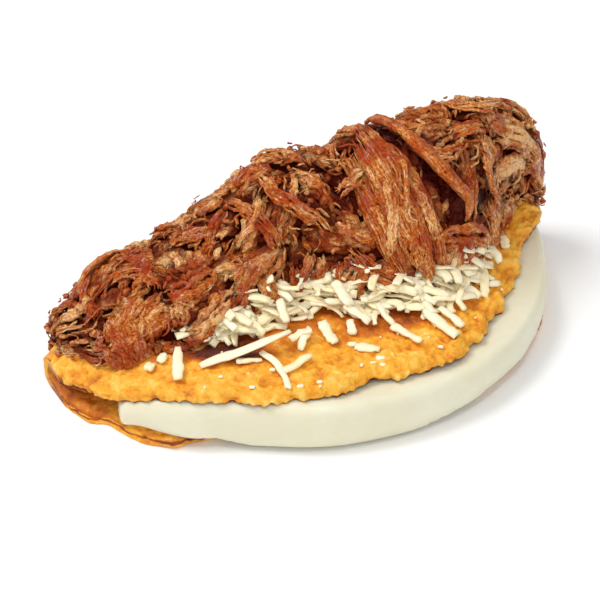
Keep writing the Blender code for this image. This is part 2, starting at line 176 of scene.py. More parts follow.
def meshFrom(name, points, faces, finish, attributes):
    # faces is a list of arrays, each of faces with the same number of corners
    mesh = bpy.data.meshes.new(name)
    mesh.vertices.add(len(points))
    mesh.vertices.foreach_set("co", np.asarray(points, np.float32).ravel())
    corners = np.concatenate([part.ravel() for part in faces]).astype(np.int32)
    counts = np.concatenate([np.full(len(part), part.shape[1]) for part in faces])
    starts = np.concatenate([[0], np.cumsum(counts)[:-1]])
    mesh.loops.add(len(corners))
    mesh.loops.foreach_set("vertex_index", corners)
    mesh.polygons.add(len(counts))
    mesh.polygons.foreach_set("loop_start", starts.astype(np.int32))
    mesh.update(calc_edges=True)
    mesh.polygons.foreach_set("use_smooth", np.ones(len(counts), bool))
    for key, values in attributes.items():
        store(mesh, key, values)
    mesh.materials.append(finish.material)
    made = bpy.data.objects.new(name, mesh)
    bpy.context.scene.collection.objects.link(made)
    return made


def wrapGrid(name, sections, finish, attributes=None):
    # a flat grid wrapped round the sections (places along, points round), merged at its seam and closed
    def seam(values):
        return np.concatenate([values, values[:, :1]], axis=1)
    rows, columns = seam(sections).shape[:2]
    bpy.ops.object.select_all(action="DESELECT")
    bpy.ops.mesh.primitive_grid_add(x_subdivisions=columns - 1, y_subdivisions=rows - 1)
    piece = bpy.context.object
    piece.name = name
    piece.data.name = name
    piece.data.vertices.foreach_set("co", seam(sections).astype(np.float32).ravel())
    for key, values in (attributes or {}).items():
        store(piece.data, key, seam(values).reshape(-1, 3))
    bpy.ops.object.mode_set(mode="EDIT")
    bpy.ops.mesh.select_all(action="SELECT")
    bpy.ops.mesh.remove_doubles(threshold=0.000001)
    bpy.ops.mesh.fill_holes(sides=0)
    bpy.ops.mesh.select_all(action="SELECT")
    bpy.ops.mesh.normals_make_consistent(inside=False)
    bpy.ops.object.mode_set(mode="OBJECT")
    bpy.ops.object.shade_smooth()
    piece.data.materials.append(finish.material)
    piece.select_set(False)
    return piece


# The folded corn cake's form, as in the solids: measured forward from the fold line

cake = {
    "foldY": 0.042, "halfLength": 0.115, "ends": (-0.1126, 0.1144),
    "edgeRelief": 0.0022,
    "lowerThick": 0.007, "lowerSlope": 0.016, "lowerEdge": 0.60,
    "upperThick": 0.0085, "upperSlope": 0.026, "upperEdge": 0.50,
    "space": 0.0146, "bendFlatness": 0.8,
    "leftTaper": 0.022, "rightTaper": 0.012, "thinnest": 0.42, "leftSpace": 0.36, "rightSpace": 0.8,
    "places": 300, "crumb": 0.00050, "crag": 0.0013, "swell": 0.0009,
    # how toasted each part is, from 0 to 1
    "underside": 0.52, "flapBase": 0.55, "fold": 0.40, "bend": 0.58, "bendLeft": 0.14,
    "top": 0.24, "topRim": 0.08, "burntTop": 0.60, "lowerTop": 0.24, "lowerTopLeft": 0.50,
}


# Place along the fold, and how far forward of the fold line each edge is there
upperOutline = [
    (-0.1150, 0.0040), (-0.1130, 0.0120), (-0.1090, 0.0220), (-0.1030, 0.0365), (-0.0980, 0.0438),
    (-0.0935, 0.0498), (-0.0850, 0.0585), (-0.0770, 0.0645), (-0.0600, 0.0740), (-0.0430, 0.0805),
    (-0.0270, 0.0840), (-0.0100, 0.0855), (0.0050, 0.0865), (0.0200, 0.0865), (0.0300, 0.0840),
    (0.0400, 0.0785), (0.0500, 0.0715), (0.0600, 0.0635), (0.0700, 0.0535), (0.0800, 0.0420),
    (0.0900, 0.0315), (0.1000, 0.0225), (0.1080, 0.0140), (0.1130, 0.0065), (0.1150, 0.0030),
]
lowerOutline = [
    (-0.1150, 0.0060), (-0.1130, 0.0135), (-0.1110, 0.0215), (-0.1090, 0.0290), (-0.1055, 0.0322),
    (-0.1025, 0.0345), (-0.1005, 0.0400), (-0.0985, 0.0455), (-0.0950, 0.0515), (-0.0900, 0.0560),
    (-0.0850, 0.0585), (-0.0780, 0.0600), (-0.0700, 0.0615), (-0.0600, 0.0645), (-0.0450, 0.0730),
    (-0.0300, 0.0790), (-0.0120, 0.0835), (0.0050, 0.0855),
    (0.0200, 0.0855), (0.0350, 0.0835), (0.0500, 0.0790), (0.0620, 0.0732), (0.0760, 0.0627),
    (0.0880, 0.0502), (0.0960, 0.0393), (0.1020, 0.0290), (0.1080, 0.0178), (0.1130, 0.0080),
    (0.1150, 0.0038),
]
slabOutline = [
    (-0.1030, 0.0340), (-0.1018, 0.0400), (-0.1000, 0.0440), (-0.0965, 0.0480), (-0.0925, 0.0530),
    (-0.0886, 0.0575), (-0.0845, 0.0615), (-0.0795, 0.0650), (-0.0700, 0.0700), (-0.0610, 0.0757),
    (-0.0450, 0.0855), (-0.0350, 0.0905), (-0.0240, 0.0940), (-0.0120, 0.0962), (0.0000, 0.0973), (0.0150, 0.0966),
    (0.0310, 0.0935), (0.0490, 0.0863), (0.0600, 0.0798), (0.0760, 0.0656), (0.0885, 0.0505),
    (0.0940, 0.0415), (0.1020, 0.0265), (0.1070, 0.0145), (0.1110, 0.0040),
]


def reach(x, outline):  # a smooth curve through the outline's places
    places, forward = np.array(outline).T
    slopes = np.empty_like(forward)
    slopes[1:-1] = (forward[2:] - forward[:-2]) / (places[2:] - places[:-2])
    slopes[0] = (forward[1] - forward[0]) / (places[1] - places[0])
    slopes[-1] = (forward[-1] - forward[-2]) / (places[-1] - places[-2])
    after = np.clip(np.searchsorted(places, x, side="right"), 1, len(places) - 1)
    run = places[after] - places[after - 1]
    part = np.clip((x - places[after - 1]) / run, 0.0, 1.0)
    plain = forward[after - 1] * (1.0 + 2.0 * part) * (1.0 - part) ** 2
    plain = plain + forward[after] * part ** 2 * (3.0 - 2.0 * part)
    lean = slopes[after - 1] * (1.0 - part) - slopes[after] * part
    return plain + run * part * (1.0 - part) * lean


def placed(x, forward, height):  # points in the part's frame, from places measured forward of the fold line
    return np.stack(np.broadcast_arrays(x, cake["foldY"] - forward, height), axis=-1)


def alongX(x, scale, seed):
    points = np.stack([x, np.zeros_like(x), np.zeros_like(x)], axis=-1)
    return lumps(points, scale, seed)


def upperReach(x):
    plain = reach(x, upperOutline)
    rough = alongX(x, 0.011, 3) + 0.4 * alongX(x, 0.004, 4)
    return plain + 0.7 * cake["edgeRelief"] * rough * np.minimum(1.0, plain / 0.03)


def lowerReach(x):
    plain = reach(x, lowerOutline)
    rough = alongX(x, 0.012, 8) + 0.6 * alongX(x, 0.0045, 9) + 0.3 * alongX(x, 0.0018, 10)
    return plain + 0.5 * cake["edgeRelief"] * rough * np.minimum(1.0, plain / 0.03)


def slabReach(x):
    return reach(x, slabOutline)


def endTaper(x):
    left = np.sqrt(np.clip((cake["halfLength"] + x) / cake["leftTaper"], 0.0, 1.0))
    right = np.sqrt(np.clip((cake["halfLength"] - x) / cake["rightTaper"], 0.0, 1.0))
    return mix(cake["thinnest"], 1.0, np.minimum(left, right))


def layerSpace(x):
    left = mix(cake["leftSpace"], 1.0, ease(-cake["halfLength"], -0.080, x))
    return cake["space"] * left * mix(1.0, cake["rightSpace"], ease(0.100, cake["halfLength"], x))


def lowerTop(x, forward):
    rim = np.clip((lowerReach(x) - forward) / cake["lowerSlope"], 0.0, 1.0)
    return cake["lowerThick"] * endTaper(x) * mix(cake["lowerEdge"], 1.0, rim)


def upperBase(x):
    return cake["lowerThick"] * endTaper(x) + layerSpace(x)


def upperTop(x, forward):
    rim = np.clip((upperReach(x) - forward) / cake["upperSlope"], 0.0, 1.0) ** 0.7
    return upperBase(x) + cake["upperThick"] * endTaper(x) * mix(cake["upperEdge"], 1.0, rim)


def placesAlong(start, end, count):  # closer together towards both ends
    turn = np.linspace(0.0, math.pi, count)
    return mix(start, end, 0.5 - 0.5 * np.cos(turn) * mix(1.0, 0.25, np.sin(turn) ** 2))


def buildCake(finish):
    x = placesAlong(*cake["ends"], cake["places"])[:, None]
    low = lowerReach(x)
    up = upperReach(x)
    base = upperBase(x)
    floor = cake["lowerThick"] * endTaper(x)
    lowEdge = lowerTop(x, low)
    edgeThick = upperTop(x, up) - base
    forward = []
    height = []
    zone = []  # how browned, how crumbly, and the distance in from the edge

    def run(f, z, brown, crumbly, inset):  # one stretch of the section
        shape = np.broadcast_shapes(f.shape, z.shape, x.shape)
        forward.append(np.broadcast_to(f, shape))
        height.append(np.broadcast_to(z, shape))
        parts = [np.broadcast_to(value + 0.0 * x, shape) for value in (brown, crumbly, inset)]
        zone.append(np.stack(parts, axis=-1))

    # the underside, back to the fold
    f = (low - 0.30 * lowEdge) * np.linspace(1.0, 0.0, 40)[None]
    run(f, 0.0 * f, cake["underside"], 0.25, 0.05)
    # the bend's outside
    turn = np.linspace(0.0, math.pi, 44)[None, 1:-1]
    outer = 0.5 * upperTop(x, 0.0 * x)
    leftEnd = ease(-0.100, -0.109, x)
    run(-outer * cake["bendFlatness"] * np.sin(turn), outer * (1.0 - np.cos(turn)),
        mix(cake["bend"], cake["bendLeft"], leftEnd), mix(0.70, 1.0, leftEnd), 0.09)
    # the flap's top, burnt in two patches, and its edge
    f = (np.linspace(0.0, 1.0, 124)[None] ** 0.82) * 0.965 * up
    patch = ease(-0.080, -0.068, x) * (1.0 - ease(-0.052, -0.038, x))
    patch = patch + 0.55 * ease(-0.020, -0.006, x) * (1.0 - ease(0.012, 0.028, x))
    brown = mix(cake["topRim"], cake["top"], ease(0.002, 0.020, up - f))
    brown = brown + mix(0.10, cake["burntTop"], patch) * ease(0.017, 0.023, up - f)
    run(f, upperTop(x, f), brown, 1.0, up - f)
    turn = np.linspace(0.22, 0.95, 11)[None] * math.pi
    run(up - 0.5 * edgeThick * (1.0 - np.sin(turn)) * 0.9, base + edgeThick * (0.5 + 0.5 * np.cos(turn)),
        mix(0.10, 0.95, ease(0.60, 0.80, turn / math.pi)), 1.0, 0.0)
    # the flap's underside and the inside of the bend
    f = np.linspace(0.93, 0.0, 26)[None] * up
    run(f, base + 0.0 * f, cake["flapBase"], 0.0, 0.05)
    turn = np.linspace(0.0, math.pi, 10)[None, 1:-1]
    inner = 0.5 * (base - floor)
    run(-inner * cake["bendFlatness"] * np.sin(turn), base - inner * (1.0 - np.cos(turn)), cake["fold"], 0.0, 0.09)
    # the lower layer's top, and its rim with a burnt line
    f = (np.linspace(0.0, 1.0, 60)[None] ** 0.8) * 0.955 * low
    brown = mix(cake["lowerTop"], cake["lowerTopLeft"], ease(-0.096, -0.106, x))
    run(f, lowerTop(x, f), brown + 0.10 * ease(0.006, 0.002, low - f),
        mix(1.0, 0.0, ease(0.014, 0.030, low - f)), low - f)
    turn = np.linspace(0.2, 0.9, 13)[None] * math.pi
    burnt = np.exp(-((turn / math.pi - 0.38) / 0.10) ** 2)
    run(low - 0.5 * lowEdge * (1.0 - np.sin(turn)) * 0.8, lowEdge * (0.5 + 0.5 * np.cos(turn)),
        mix(0.20, 0.78, burnt), 1.0, 0.0)
    forward = np.concatenate(forward, axis=1)
    height = np.concatenate(height, axis=1)
    zone = np.concatenate(zone, axis=1)
    piece = wrapGrid("cornCake", placed(x, forward, height), finish, {"zone": zone})
    points = coordinates(piece)
    brown, crumbly, inset = vectorsIn(piece.data.attributes["zone"].data, "vector").T
    nearEdge = 1.0 - ease(0.003, 0.022, inset)
    crumb = lumps(points, 0.0021, 1) + 0.9 * lumps(points, 0.0046, 2) + 0.5 * lumps(points, 0.0012, 3)
    crag = lumps(points, 0.0064, 5) + 0.9 * np.abs(lumps(points, 0.0034, 6)) + 0.6 * lumps(points, 0.0017, 7)
    amounts = cake["crumb"] * crumb * mix(0.5, 1.0, nearEdge) + cake["crag"] * (crag - 0.35) * nearEdge
    uneven = cake["swell"] * lumps(points, 0.024, 14) * ease(0.044, 0.047, points[:, 1])
    pushOut(piece, (amounts * crumbly + uneven) * ease(0.0002, 0.0022, points[:, 2]))
    # painted shade: the crumb colour is made darker where the relief is pushed in; this value replaces the zone's
    # third part
    paintedHollowShade = np.clip(0.5 - 0.35 * crumb - 0.25 * crag * nearEdge, 0.0, 1.0)
    store(piece.data, "zone", np.stack([brown, crumbly, paintedHollowShade], axis=-1))
    return piece


slab = {
    "ends": (-0.1025, 0.1105), "endLean": 0.55, "endForward": 0.043, "endRun": 0.045, "places": 200,
    "gap": 0.0003, "footGap": 0.0004, "back": 0.18, "inner": 0.0006, "foot": 0.0013, "past": 0.0008,
    "rim": 0.0072, "rimFullness": 0.62, "dropRim": 0.0066, "dropRun": 0.004,
    "swell": 0.0006, "ripple": 0.00022, "grain": 0.00005,
}


def buildSlab(finish):  # hangs down in front of the lower layer where it overhangs it
    x = placesAlong(*slab["ends"], slab["places"])[:, None]
    front = slabReach(x)
    low = lowerReach(x)
    top = upperBase(x) - slab["gap"]
    rim = np.minimum(slab["rim"], 0.6 * front)
    stepOut = np.minimum(low + slab["past"], front - rim)
    stepDown = np.minimum(low + 2.0 * slab["past"], front - 0.85 * rim)
    drop = np.clip((front - slab["dropRim"] - low - 2.0 * slab["past"]) / slab["dropRun"], 0.0, 1.0)
    foot = mix(lowerTop(x, stepDown) + slab["footGap"], slab["foot"], drop)
    backLow = lowerTop(x, 0.0 * x) + slab["gap"]
    tall = top - foot
    turn = np.linspace(0.0, math.pi, 34)[None]
    rimForward = front - rim * (1.0 - np.sin(turn) ** slab["rimFullness"])
    rimHeight = foot + tall * (0.5 - 0.5 * np.cos(turn))
    shelf = mix(slab["inner"], stepOut, np.linspace(0.0, 1.0, 14)[None])
    lid = mix(front - 1.12 * rim, slab["inner"], np.linspace(0.0, 1.0, 40)[None])
    backTurn = np.linspace(0.0, math.pi, 9)[None, 1:-1]
    backForward = -slab["back"] * layerSpace(x) * np.sin(backTurn)
    forward = np.concatenate([shelf, rimForward, lid, backForward], axis=1)
    height = np.concatenate([lowerTop(x, shelf) + slab["gap"], rimHeight, top + 0.0 * lid,
                             mix(top, backLow, 0.5 - 0.5 * np.cos(backTurn))], axis=1)
    lean = slab["endLean"] * np.maximum(slab["endForward"] - forward, 0.0)
    lean = lean * (1.0 - ease(slab["ends"][0], slab["ends"][0] + slab["endRun"], x))
    piece = wrapGrid("cheeseSlab", placed(x + lean, forward, height), finish)
    points = coordinates(piece)
    outside = ease(0.020, 0.034, cake["foldY"] - points[:, 1]) * ease(0.0013, 0.004, points[:, 2])
    shape = slab["swell"] * lumps(points, 0.030, 2) + slab["ripple"] * lumps(points, 0.009, 3)
    shape += slab["grain"] * lumps(points, 0.0022, 4)
    pushOut(piece, shape * outside)
    return piece


print("forms ready")

# The beef heap's form: place, crest height, front toe and back toe from the fold line

heap = {
    "stations": [
        (-0.1085, 0.0200, 0.000, 0.006), (-0.1060, 0.0240, 0.001, 0.008), (-0.1030, 0.0285, 0.005, 0.010),
        (-0.0995, 0.0325, 0.013, 0.011), (-0.0955, 0.0375, 0.026, 0.011), (-0.0880, 0.0460, 0.030, 0.012),
        (-0.0800, 0.0515, 0.033, 0.013), (-0.0670, 0.0510, 0.037, 0.014), (-0.0540, 0.0560, 0.036, 0.015),
        (-0.0400, 0.0660, 0.032, 0.015), (-0.0220, 0.0740, 0.027, 0.016), (-0.0050, 0.0785, 0.032, 0.016),
        (0.0120, 0.0730, 0.041, 0.016), (0.0270, 0.0800, 0.047, 0.016), (0.0480, 0.0800, 0.045, 0.016),
        (0.0640, 0.0798, 0.035, 0.015), (0.0760, 0.0785, 0.024, 0.014), (0.0870, 0.0755, 0.016, 0.013),
        (0.0960, 0.0695, 0.012, 0.011), (0.1050, 0.0600, 0.007, 0.008), (0.1120, 0.0430, 0.004, 0.003),
        (0.1150, 0.0290, 0.002, 0.000),
    ],
    "crestForward": 0.004, "leftLean": 0.009, "backFoot": 0.62, "bump": 0.0024, "arc": 0.105, "cakeEnd": 0.111,
}
stations = np.array(heap["stations"])
heapStart = stations[0, 0]
heapSpan = stations[-1, 0] - heapStart
arc = heap["arc"]  # metres across the heap for each unit of across
fineX = np.linspace(stations[0, 0], stations[-1, 0], 400)
fineRows = np.stack([np.interp(fineX, stations[:, 0], stations[:, column]) for column in (1, 2, 3)])
kernel = np.hanning(17) / np.hanning(17).sum()
fineRows = np.stack([np.convolve(np.pad(row, 8, mode="edge"), kernel, mode="valid") for row in fineRows])


def onCake(x):
    return np.clip(x, -heap["cakeEnd"], heap["cakeEnd"])


def flapMiddle(x, forward):
    return 0.5 * (upperTop(onCake(x), np.maximum(0.0, forward)) + upperBase(onCake(x)))


def heapPoint(along, across):
    # across runs from the front toe at 0 over the crest to the back toe at 1, and below 0 over the flap
    x = heapStart + heapSpan * along
    crest, frontToe, backToe = (np.interp(x, fineX, row) for row in fineRows)
    turn = math.pi * np.maximum(across, 0.0)
    inFront = across < 0.5
    middle = heap["crestForward"] - heap["leftLean"] * ease(-0.094, -0.108, x)
    frontFoot = flapMiddle(x, frontToe)
    backFoot = heap["backFoot"] * upperTop(onCake(x), 0.0 * x)
    reachOut = np.where(inFront, frontToe - middle, middle + backToe)
    foot = np.where(inFront, frontFoot, backFoot)
    forward = middle + reachOut * np.cos(turn) + arc * np.maximum(0.0, -across)
    height = foot + (crest - foot) * np.sin(turn) ** np.where(inFront, 0.9, 1.0)
    return placed(x, forward, height)


def heapNormal(along, across):
    step = 0.008
    ahead = heapPoint(along + step, across) - heapPoint(along - step, across)
    aside = heapPoint(along, across + step) - heapPoint(along, across - step)
    out = np.cross(ahead, aside)
    return out / np.linalg.norm(out, axis=-1, keepdims=True)


def heapLumpy(along, across):
    place = heapPoint(along, across)
    out = heapNormal(along, across)
    swell = heap["bump"] * (lumps(place, 0.023, 12) + 0.6 * lumps(place, 0.011, 13))
    return place + out * swell[..., None], out


def restOnFlap(points, gap):  # lift what would sink into the flap
    x = onCake(points[..., 0])
    forward = cake["foldY"] - points[..., 1]
    inside = ease(0.002, -0.001, forward - upperReach(x)) * ease(-0.004, 0.002, forward)
    floor = upperTop(x, np.maximum(0.0, forward)) + gap
    raised = points.copy()
    raised[..., 2] = np.maximum(points[..., 2], mix(points[..., 2], floor, inside))
    return raised


def strands(name, paths, widths, thick, facing, sides, lobes, finish, tint, depth, draw, turning=1.3, ragged=0.0):
    # paths: strand, ring, xyz. widths and thick: strand, ring. facing: the flat side's normal. lobes: how lobed
    count, rings = paths.shape[:2]
    tangent = np.gradient(paths, axis=1)
    tangent /= np.linalg.norm(tangent, axis=-1, keepdims=True) + 1e-12
    side = np.cross(tangent, facing)
    side /= np.linalg.norm(side, axis=-1, keepdims=True) + 1e-12
    lift = np.cross(side, tangent)
    twist = turning * draw.uniform(-1.0, 1.0, (count, 1)) * np.linspace(-0.5, 0.5, rings)[None]
    turn = np.linspace(0.0, 2.0 * math.pi, sides, endpoint=False)[None, None]
    phase = draw.uniform(0.0, 6.28, (count, 1, 1))
    ripple = 1.0 + lobes * np.cos(draw.integers(3, 6, (count, 1, 1)) * turn + phase)
    across = 0.5 * widths[..., None] * np.cos(turn) * ripple
    raised = 0.5 * thick[..., None] * np.sin(turn) * ripple
    cosine = np.cos(twist)[..., None]
    sine = np.sin(twist)[..., None]
    outSide = across * cosine - raised * sine
    outLift = across * sine + raised * cosine
    points = paths[:, :, None] + side[:, :, None] * outSide[..., None] + lift[:, :, None] * outLift[..., None]
    if ragged:
        crinkle = [lumps(points, 0.0019, seed) + 0.5 * lumps(points, 0.0010, seed + 3) for seed in (51, 61, 71)]
        points = points + ragged * np.stack(crinkle, axis=-1)
    run = np.cumsum(np.linalg.norm(np.diff(paths, axis=1, prepend=paths[:, :1]), axis=-1), axis=1)
    seed = draw.uniform(0.0, 9.0, (count, 1, 1))
    grain = np.stack([across, raised, np.broadcast_to(run[..., None] + seed, across.shape)], axis=-1)
    index = np.arange(count * rings * sides).reshape(count, rings, sides)
    after = np.roll(index, -1, axis=2)
    walls = np.stack([index[:, :-1], index[:, 1:], after[:, 1:], after[:, :-1]], axis=-1).reshape(-1, 4)
    caps = np.concatenate([index[:, 0], index[:, -1][:, ::-1]])
    shape = points.shape[:3]
    attributes = {
        "grain": grain.reshape(-1, 3),
        "tint": np.broadcast_to(tint[:, None, None], shape).ravel(),
        "depth": np.broadcast_to(depth[..., None], shape).ravel(),
    }
    return meshFrom(name, points.reshape(-1, 3), [walls, caps], finish, attributes)


def evenSpots(count, draw, scatter=1.0):  # evenly spread (along, across) pairs with a little scatter
    index = np.arange(count)
    along = (index + 0.5) / count + draw.normal(0.0, 0.006 * scatter, count)
    across = np.mod(index * 0.6180339887 + draw.normal(0.0, 0.012 * scatter, count), 1.0)
    return along, across


def wander(rings, count, scale, draw):  # smooth sideways wandering of each strand
    part = np.linspace(0.0, 1.0, rings)[None]
    total = 0.0
    for turns in (1.0, 2.3, 4.1):
        phase = draw.uniform(0.0, 6.28, (count, 1))
        total = total + np.sin(6.28 * turns * part + phase) * scale / turns
    return total


def taperEnds(rings, count, draw, blunt=0.28):
    part = np.linspace(0.0, 1.0, rings)[None]
    left = draw.uniform(0.05, 0.22, (count, 1))
    right = draw.uniform(0.05, 0.22, (count, 1))
    grow = np.clip(part / left, 0.0, 1.0) ** 0.6
    fade = np.clip((1.0 - part) / right, 0.0, 1.0) ** 0.6
    return np.maximum(blunt, np.minimum(grow, fade))


def flow(along, across):  # the way the shreds lie round a spot, in radians from the fold's direction
    place = np.stack([along * heapSpan, across * arc, 0.0 * along], axis=-1)
    return 1.7 * lumps(place, 0.036, 21) + 0.8 * lumps(place, 0.017, 22)


def surfaceRun(along, across, heading, bend, length, rings, offset=None):
    # paths over the heap's surface as along and across; offset moves each sideways
    part = np.linspace(-0.5, 0.5, rings)[None]
    turn = heading[:, None] + bend[:, None] * part
    step = length[:, None] / (rings - 1)
    runX = np.cumsum(np.cos(turn) * step, axis=1) - 0.5 * length[:, None] * np.cos(heading)[:, None]
    runY = np.cumsum(np.sin(turn) * step, axis=1) - 0.5 * length[:, None] * np.sin(heading)[:, None]
    if offset is not None:
        runX = runX - offset * np.sin(turn)
        runY = runY + offset * np.cos(turn)
    a = np.clip(along[:, None] + runX / heapSpan, 0.002, 0.998)
    c = np.clip(across[:, None] + runY / arc, beef["acrossFrom"], beef["acrossTo"])
    return a, c


# Tufts: bundles of fibres that lie side by side, bulge in the middle and part at their ends

beef = {
    "tufts": 255, "tuftLength": (0.010, 0.029), "tuftWidth": (0.0050, 0.0120), "tuftRise": (0.0012, 0.0058),
    "fibreWidth": (0.0013, 0.0027), "fibreGap": 0.92, "loose": 0.0016, "jitter": 0.00022, "ragged": 0.00042,
    "fringes": {  # tufts over a toe: how many, from and to along the heap, from and to across it, seed
        "beefFringe": (34, 0.065, 0.90, 0.0, 0.09, 8),
        "beefBackFringe": (44, 0.02, 0.98, 0.93, 1.0, 18),
    },
    "singles": {  # strands over the tufts: how many, length, width, bend, rise, dip, spread, rings, blunt, seed
        "beefCords": (16, (0.014, 0.030), (0.0030, 0.0050), 0.9, (0.0010, 0.0036), (0.0010, 0.0040), 0.5, 16,
                      0.25, 5),
        "beefThreads": (900, (0.003, 0.011), (0.0005, 0.0011), 1.3, (0.0006, 0.0052), (-0.0012, 0.0034), 0.8, 7,
                        0.25, 6),
        "beefScraps": (1500, (0.0020, 0.0060), (0.0011, 0.0024), 1.0, (0.0006, 0.0044), (-0.0004, 0.0012), 1.6,
                       5, 0.4, 7),
    },
    "shapes": {  # sides, and how lobed the fibre is
        "beefTufts": (7, 0.10), "beefFringe": (7, 0.10), "beefBackFringe": (7, 0.10), "beefBundles": (9, 0.10),
        "beefCords": (14, 0.12), "beefThreads": (5, 0.0), "beefScraps": (6, 0.12),
    },
    "mostPoints": 96000, "cells": (130, 74), "acrossFrom": -0.16, "acrossTo": 1.035, "acrossSpan": 1.20,
    "depthRun": 0.0052,
}


def planTufts(draw):
    count = beef["tufts"]
    along, across = evenSpots(count, draw, 1.6)
    across = mix(0.01, 0.97, across)
    heading = flow(along, across) + draw.normal(0.0, 0.6, count)
    size = draw.uniform(0.0, 1.0, count)
    length = mix(*beef["tuftLength"], size) * draw.uniform(0.85, 1.15, count)
    width = mix(*beef["tuftWidth"], draw.uniform(0.0, 1.0, count)) * mix(0.8, 1.0, size)
    rise = draw.uniform(*beef["tuftRise"], count) * np.minimum(1.0, width / 0.009)
    low = 1.0 - 0.45 * ease(0.80, 1.0, np.abs(2.0 * along - 1.0)) - 0.25 * ease(0.06, 0.0, along)
    return {
        "along": along, "across": across, "heading": heading, "bend": draw.normal(0.0, 0.75, count),
        "length": length * low, "width": width * low, "rise": rise * low,
        "fibre": draw.uniform(*beef["fibreWidth"], count), "tint": np.clip(draw.normal(0.5, 0.13, count), 0, 1),
        "loose": draw.uniform(0.25, 1.0, count) ** 2 * beef["loose"], "base": draw.uniform(-0.0012, 0.0018, count),
    }


def layTufts(tufts, draw):
    rings = 15
    layers = np.maximum(3, np.round(1.8 * tufts["width"] / (tufts["fibre"] * beef["fibreGap"]))).astype(int)
    pick = np.repeat(np.arange(len(layers)), layers)
    count = len(pick)
    side = draw.uniform(-1.0, 1.0, count)
    start = draw.uniform(-1.0, -0.62, (count, 1))
    end = draw.uniform(0.62, 1.0, (count, 1))
    q = mix(start, end, np.linspace(0.0, 1.0, rings)[None])
    pinch = 1.0 - draw.uniform(0.15, 0.55, (count, 1)) * q ** 2
    offset = side[:, None] * 0.5 * tufts["width"][pick][:, None] * pinch
    loose = tufts["loose"][pick][:, None]
    offset = offset + wander(rings, count, 1.0, draw) * loose + draw.normal(0.0, beef["jitter"], (count, rings))
    length = tufts["length"][pick] * 0.5 * (end - start)[:, 0]
    middle = 0.25 * (end + start)[:, 0] * tufts["length"][pick]
    along = tufts["along"][pick] + middle * np.cos(tufts["heading"][pick]) / heapSpan
    across = tufts["across"][pick] + middle * np.sin(tufts["heading"][pick]) / arc
    heading = tufts["heading"][pick] + draw.normal(0.0, 0.09, count)
    a, c = surfaceRun(along, across, heading, tufts["bend"][pick], length, rings, offset)
    bulge = np.sqrt(np.maximum(0.0, 1.0 - side ** 2))[:, None] * (1.0 - 0.8 * q ** 2)
    within = draw.uniform(0.45, 1.0, (count, 1))
    h = tufts["base"][pick][:, None] + tufts["rise"][pick][:, None] * (bulge * within - 0.25 * q ** 4)
    h = h + wander(rings, count, 0.45, draw) * loose + draw.normal(0.0, beef["jitter"], (count, rings))
    width = (tufts["fibre"][pick] * draw.uniform(0.7, 1.3, count))[:, None]
    width = width * taperEnds(rings, count, draw) * (1.0 + 0.13 * wander(rings, count, 1.0, draw))
    width = width * draw.uniform(0.78, 1.22, (count, rings))
    tint = np.clip(tufts["tint"][pick] + draw.normal(0.0, 0.13, count), 0.0, 1.0)
    return {"along": a, "across": c, "lift": h, "width": 1.3 * width, "thick": 0.75 * width, "tint": tint}


def layLoose(count, lengths, widths, bend, rise, dip, spread, rings, blunt, draw):  # single strands
    along, across = evenSpots(count, draw, 2.0)
    across = mix(-0.01, 0.96, across)
    heading = flow(along, across) + draw.normal(0.0, spread, count)
    length = mix(*lengths, draw.uniform(0.0, 1.0, count) ** 1.4)
    a, c = surfaceRun(along, across, heading, draw.normal(0.0, bend, count), length, rings,
                      wander(rings, count, 0.03, draw) * length[:, None])
    part = np.linspace(-1.0, 1.0, rings)[None]
    h = draw.uniform(*rise, count)[:, None] - draw.uniform(*dip, count)[:, None] * part ** 2
    width = mix(*widths, draw.uniform(0.0, 1.0, count) ** 1.3)[:, None] * taperEnds(rings, count, draw, blunt)
    return {"along": a, "across": c, "lift": h, "width": 1.15 * width, "thick": 0.85 * width,
            "tint": np.clip(draw.normal(0.52, 0.18, count), 0.0, 1.0)}


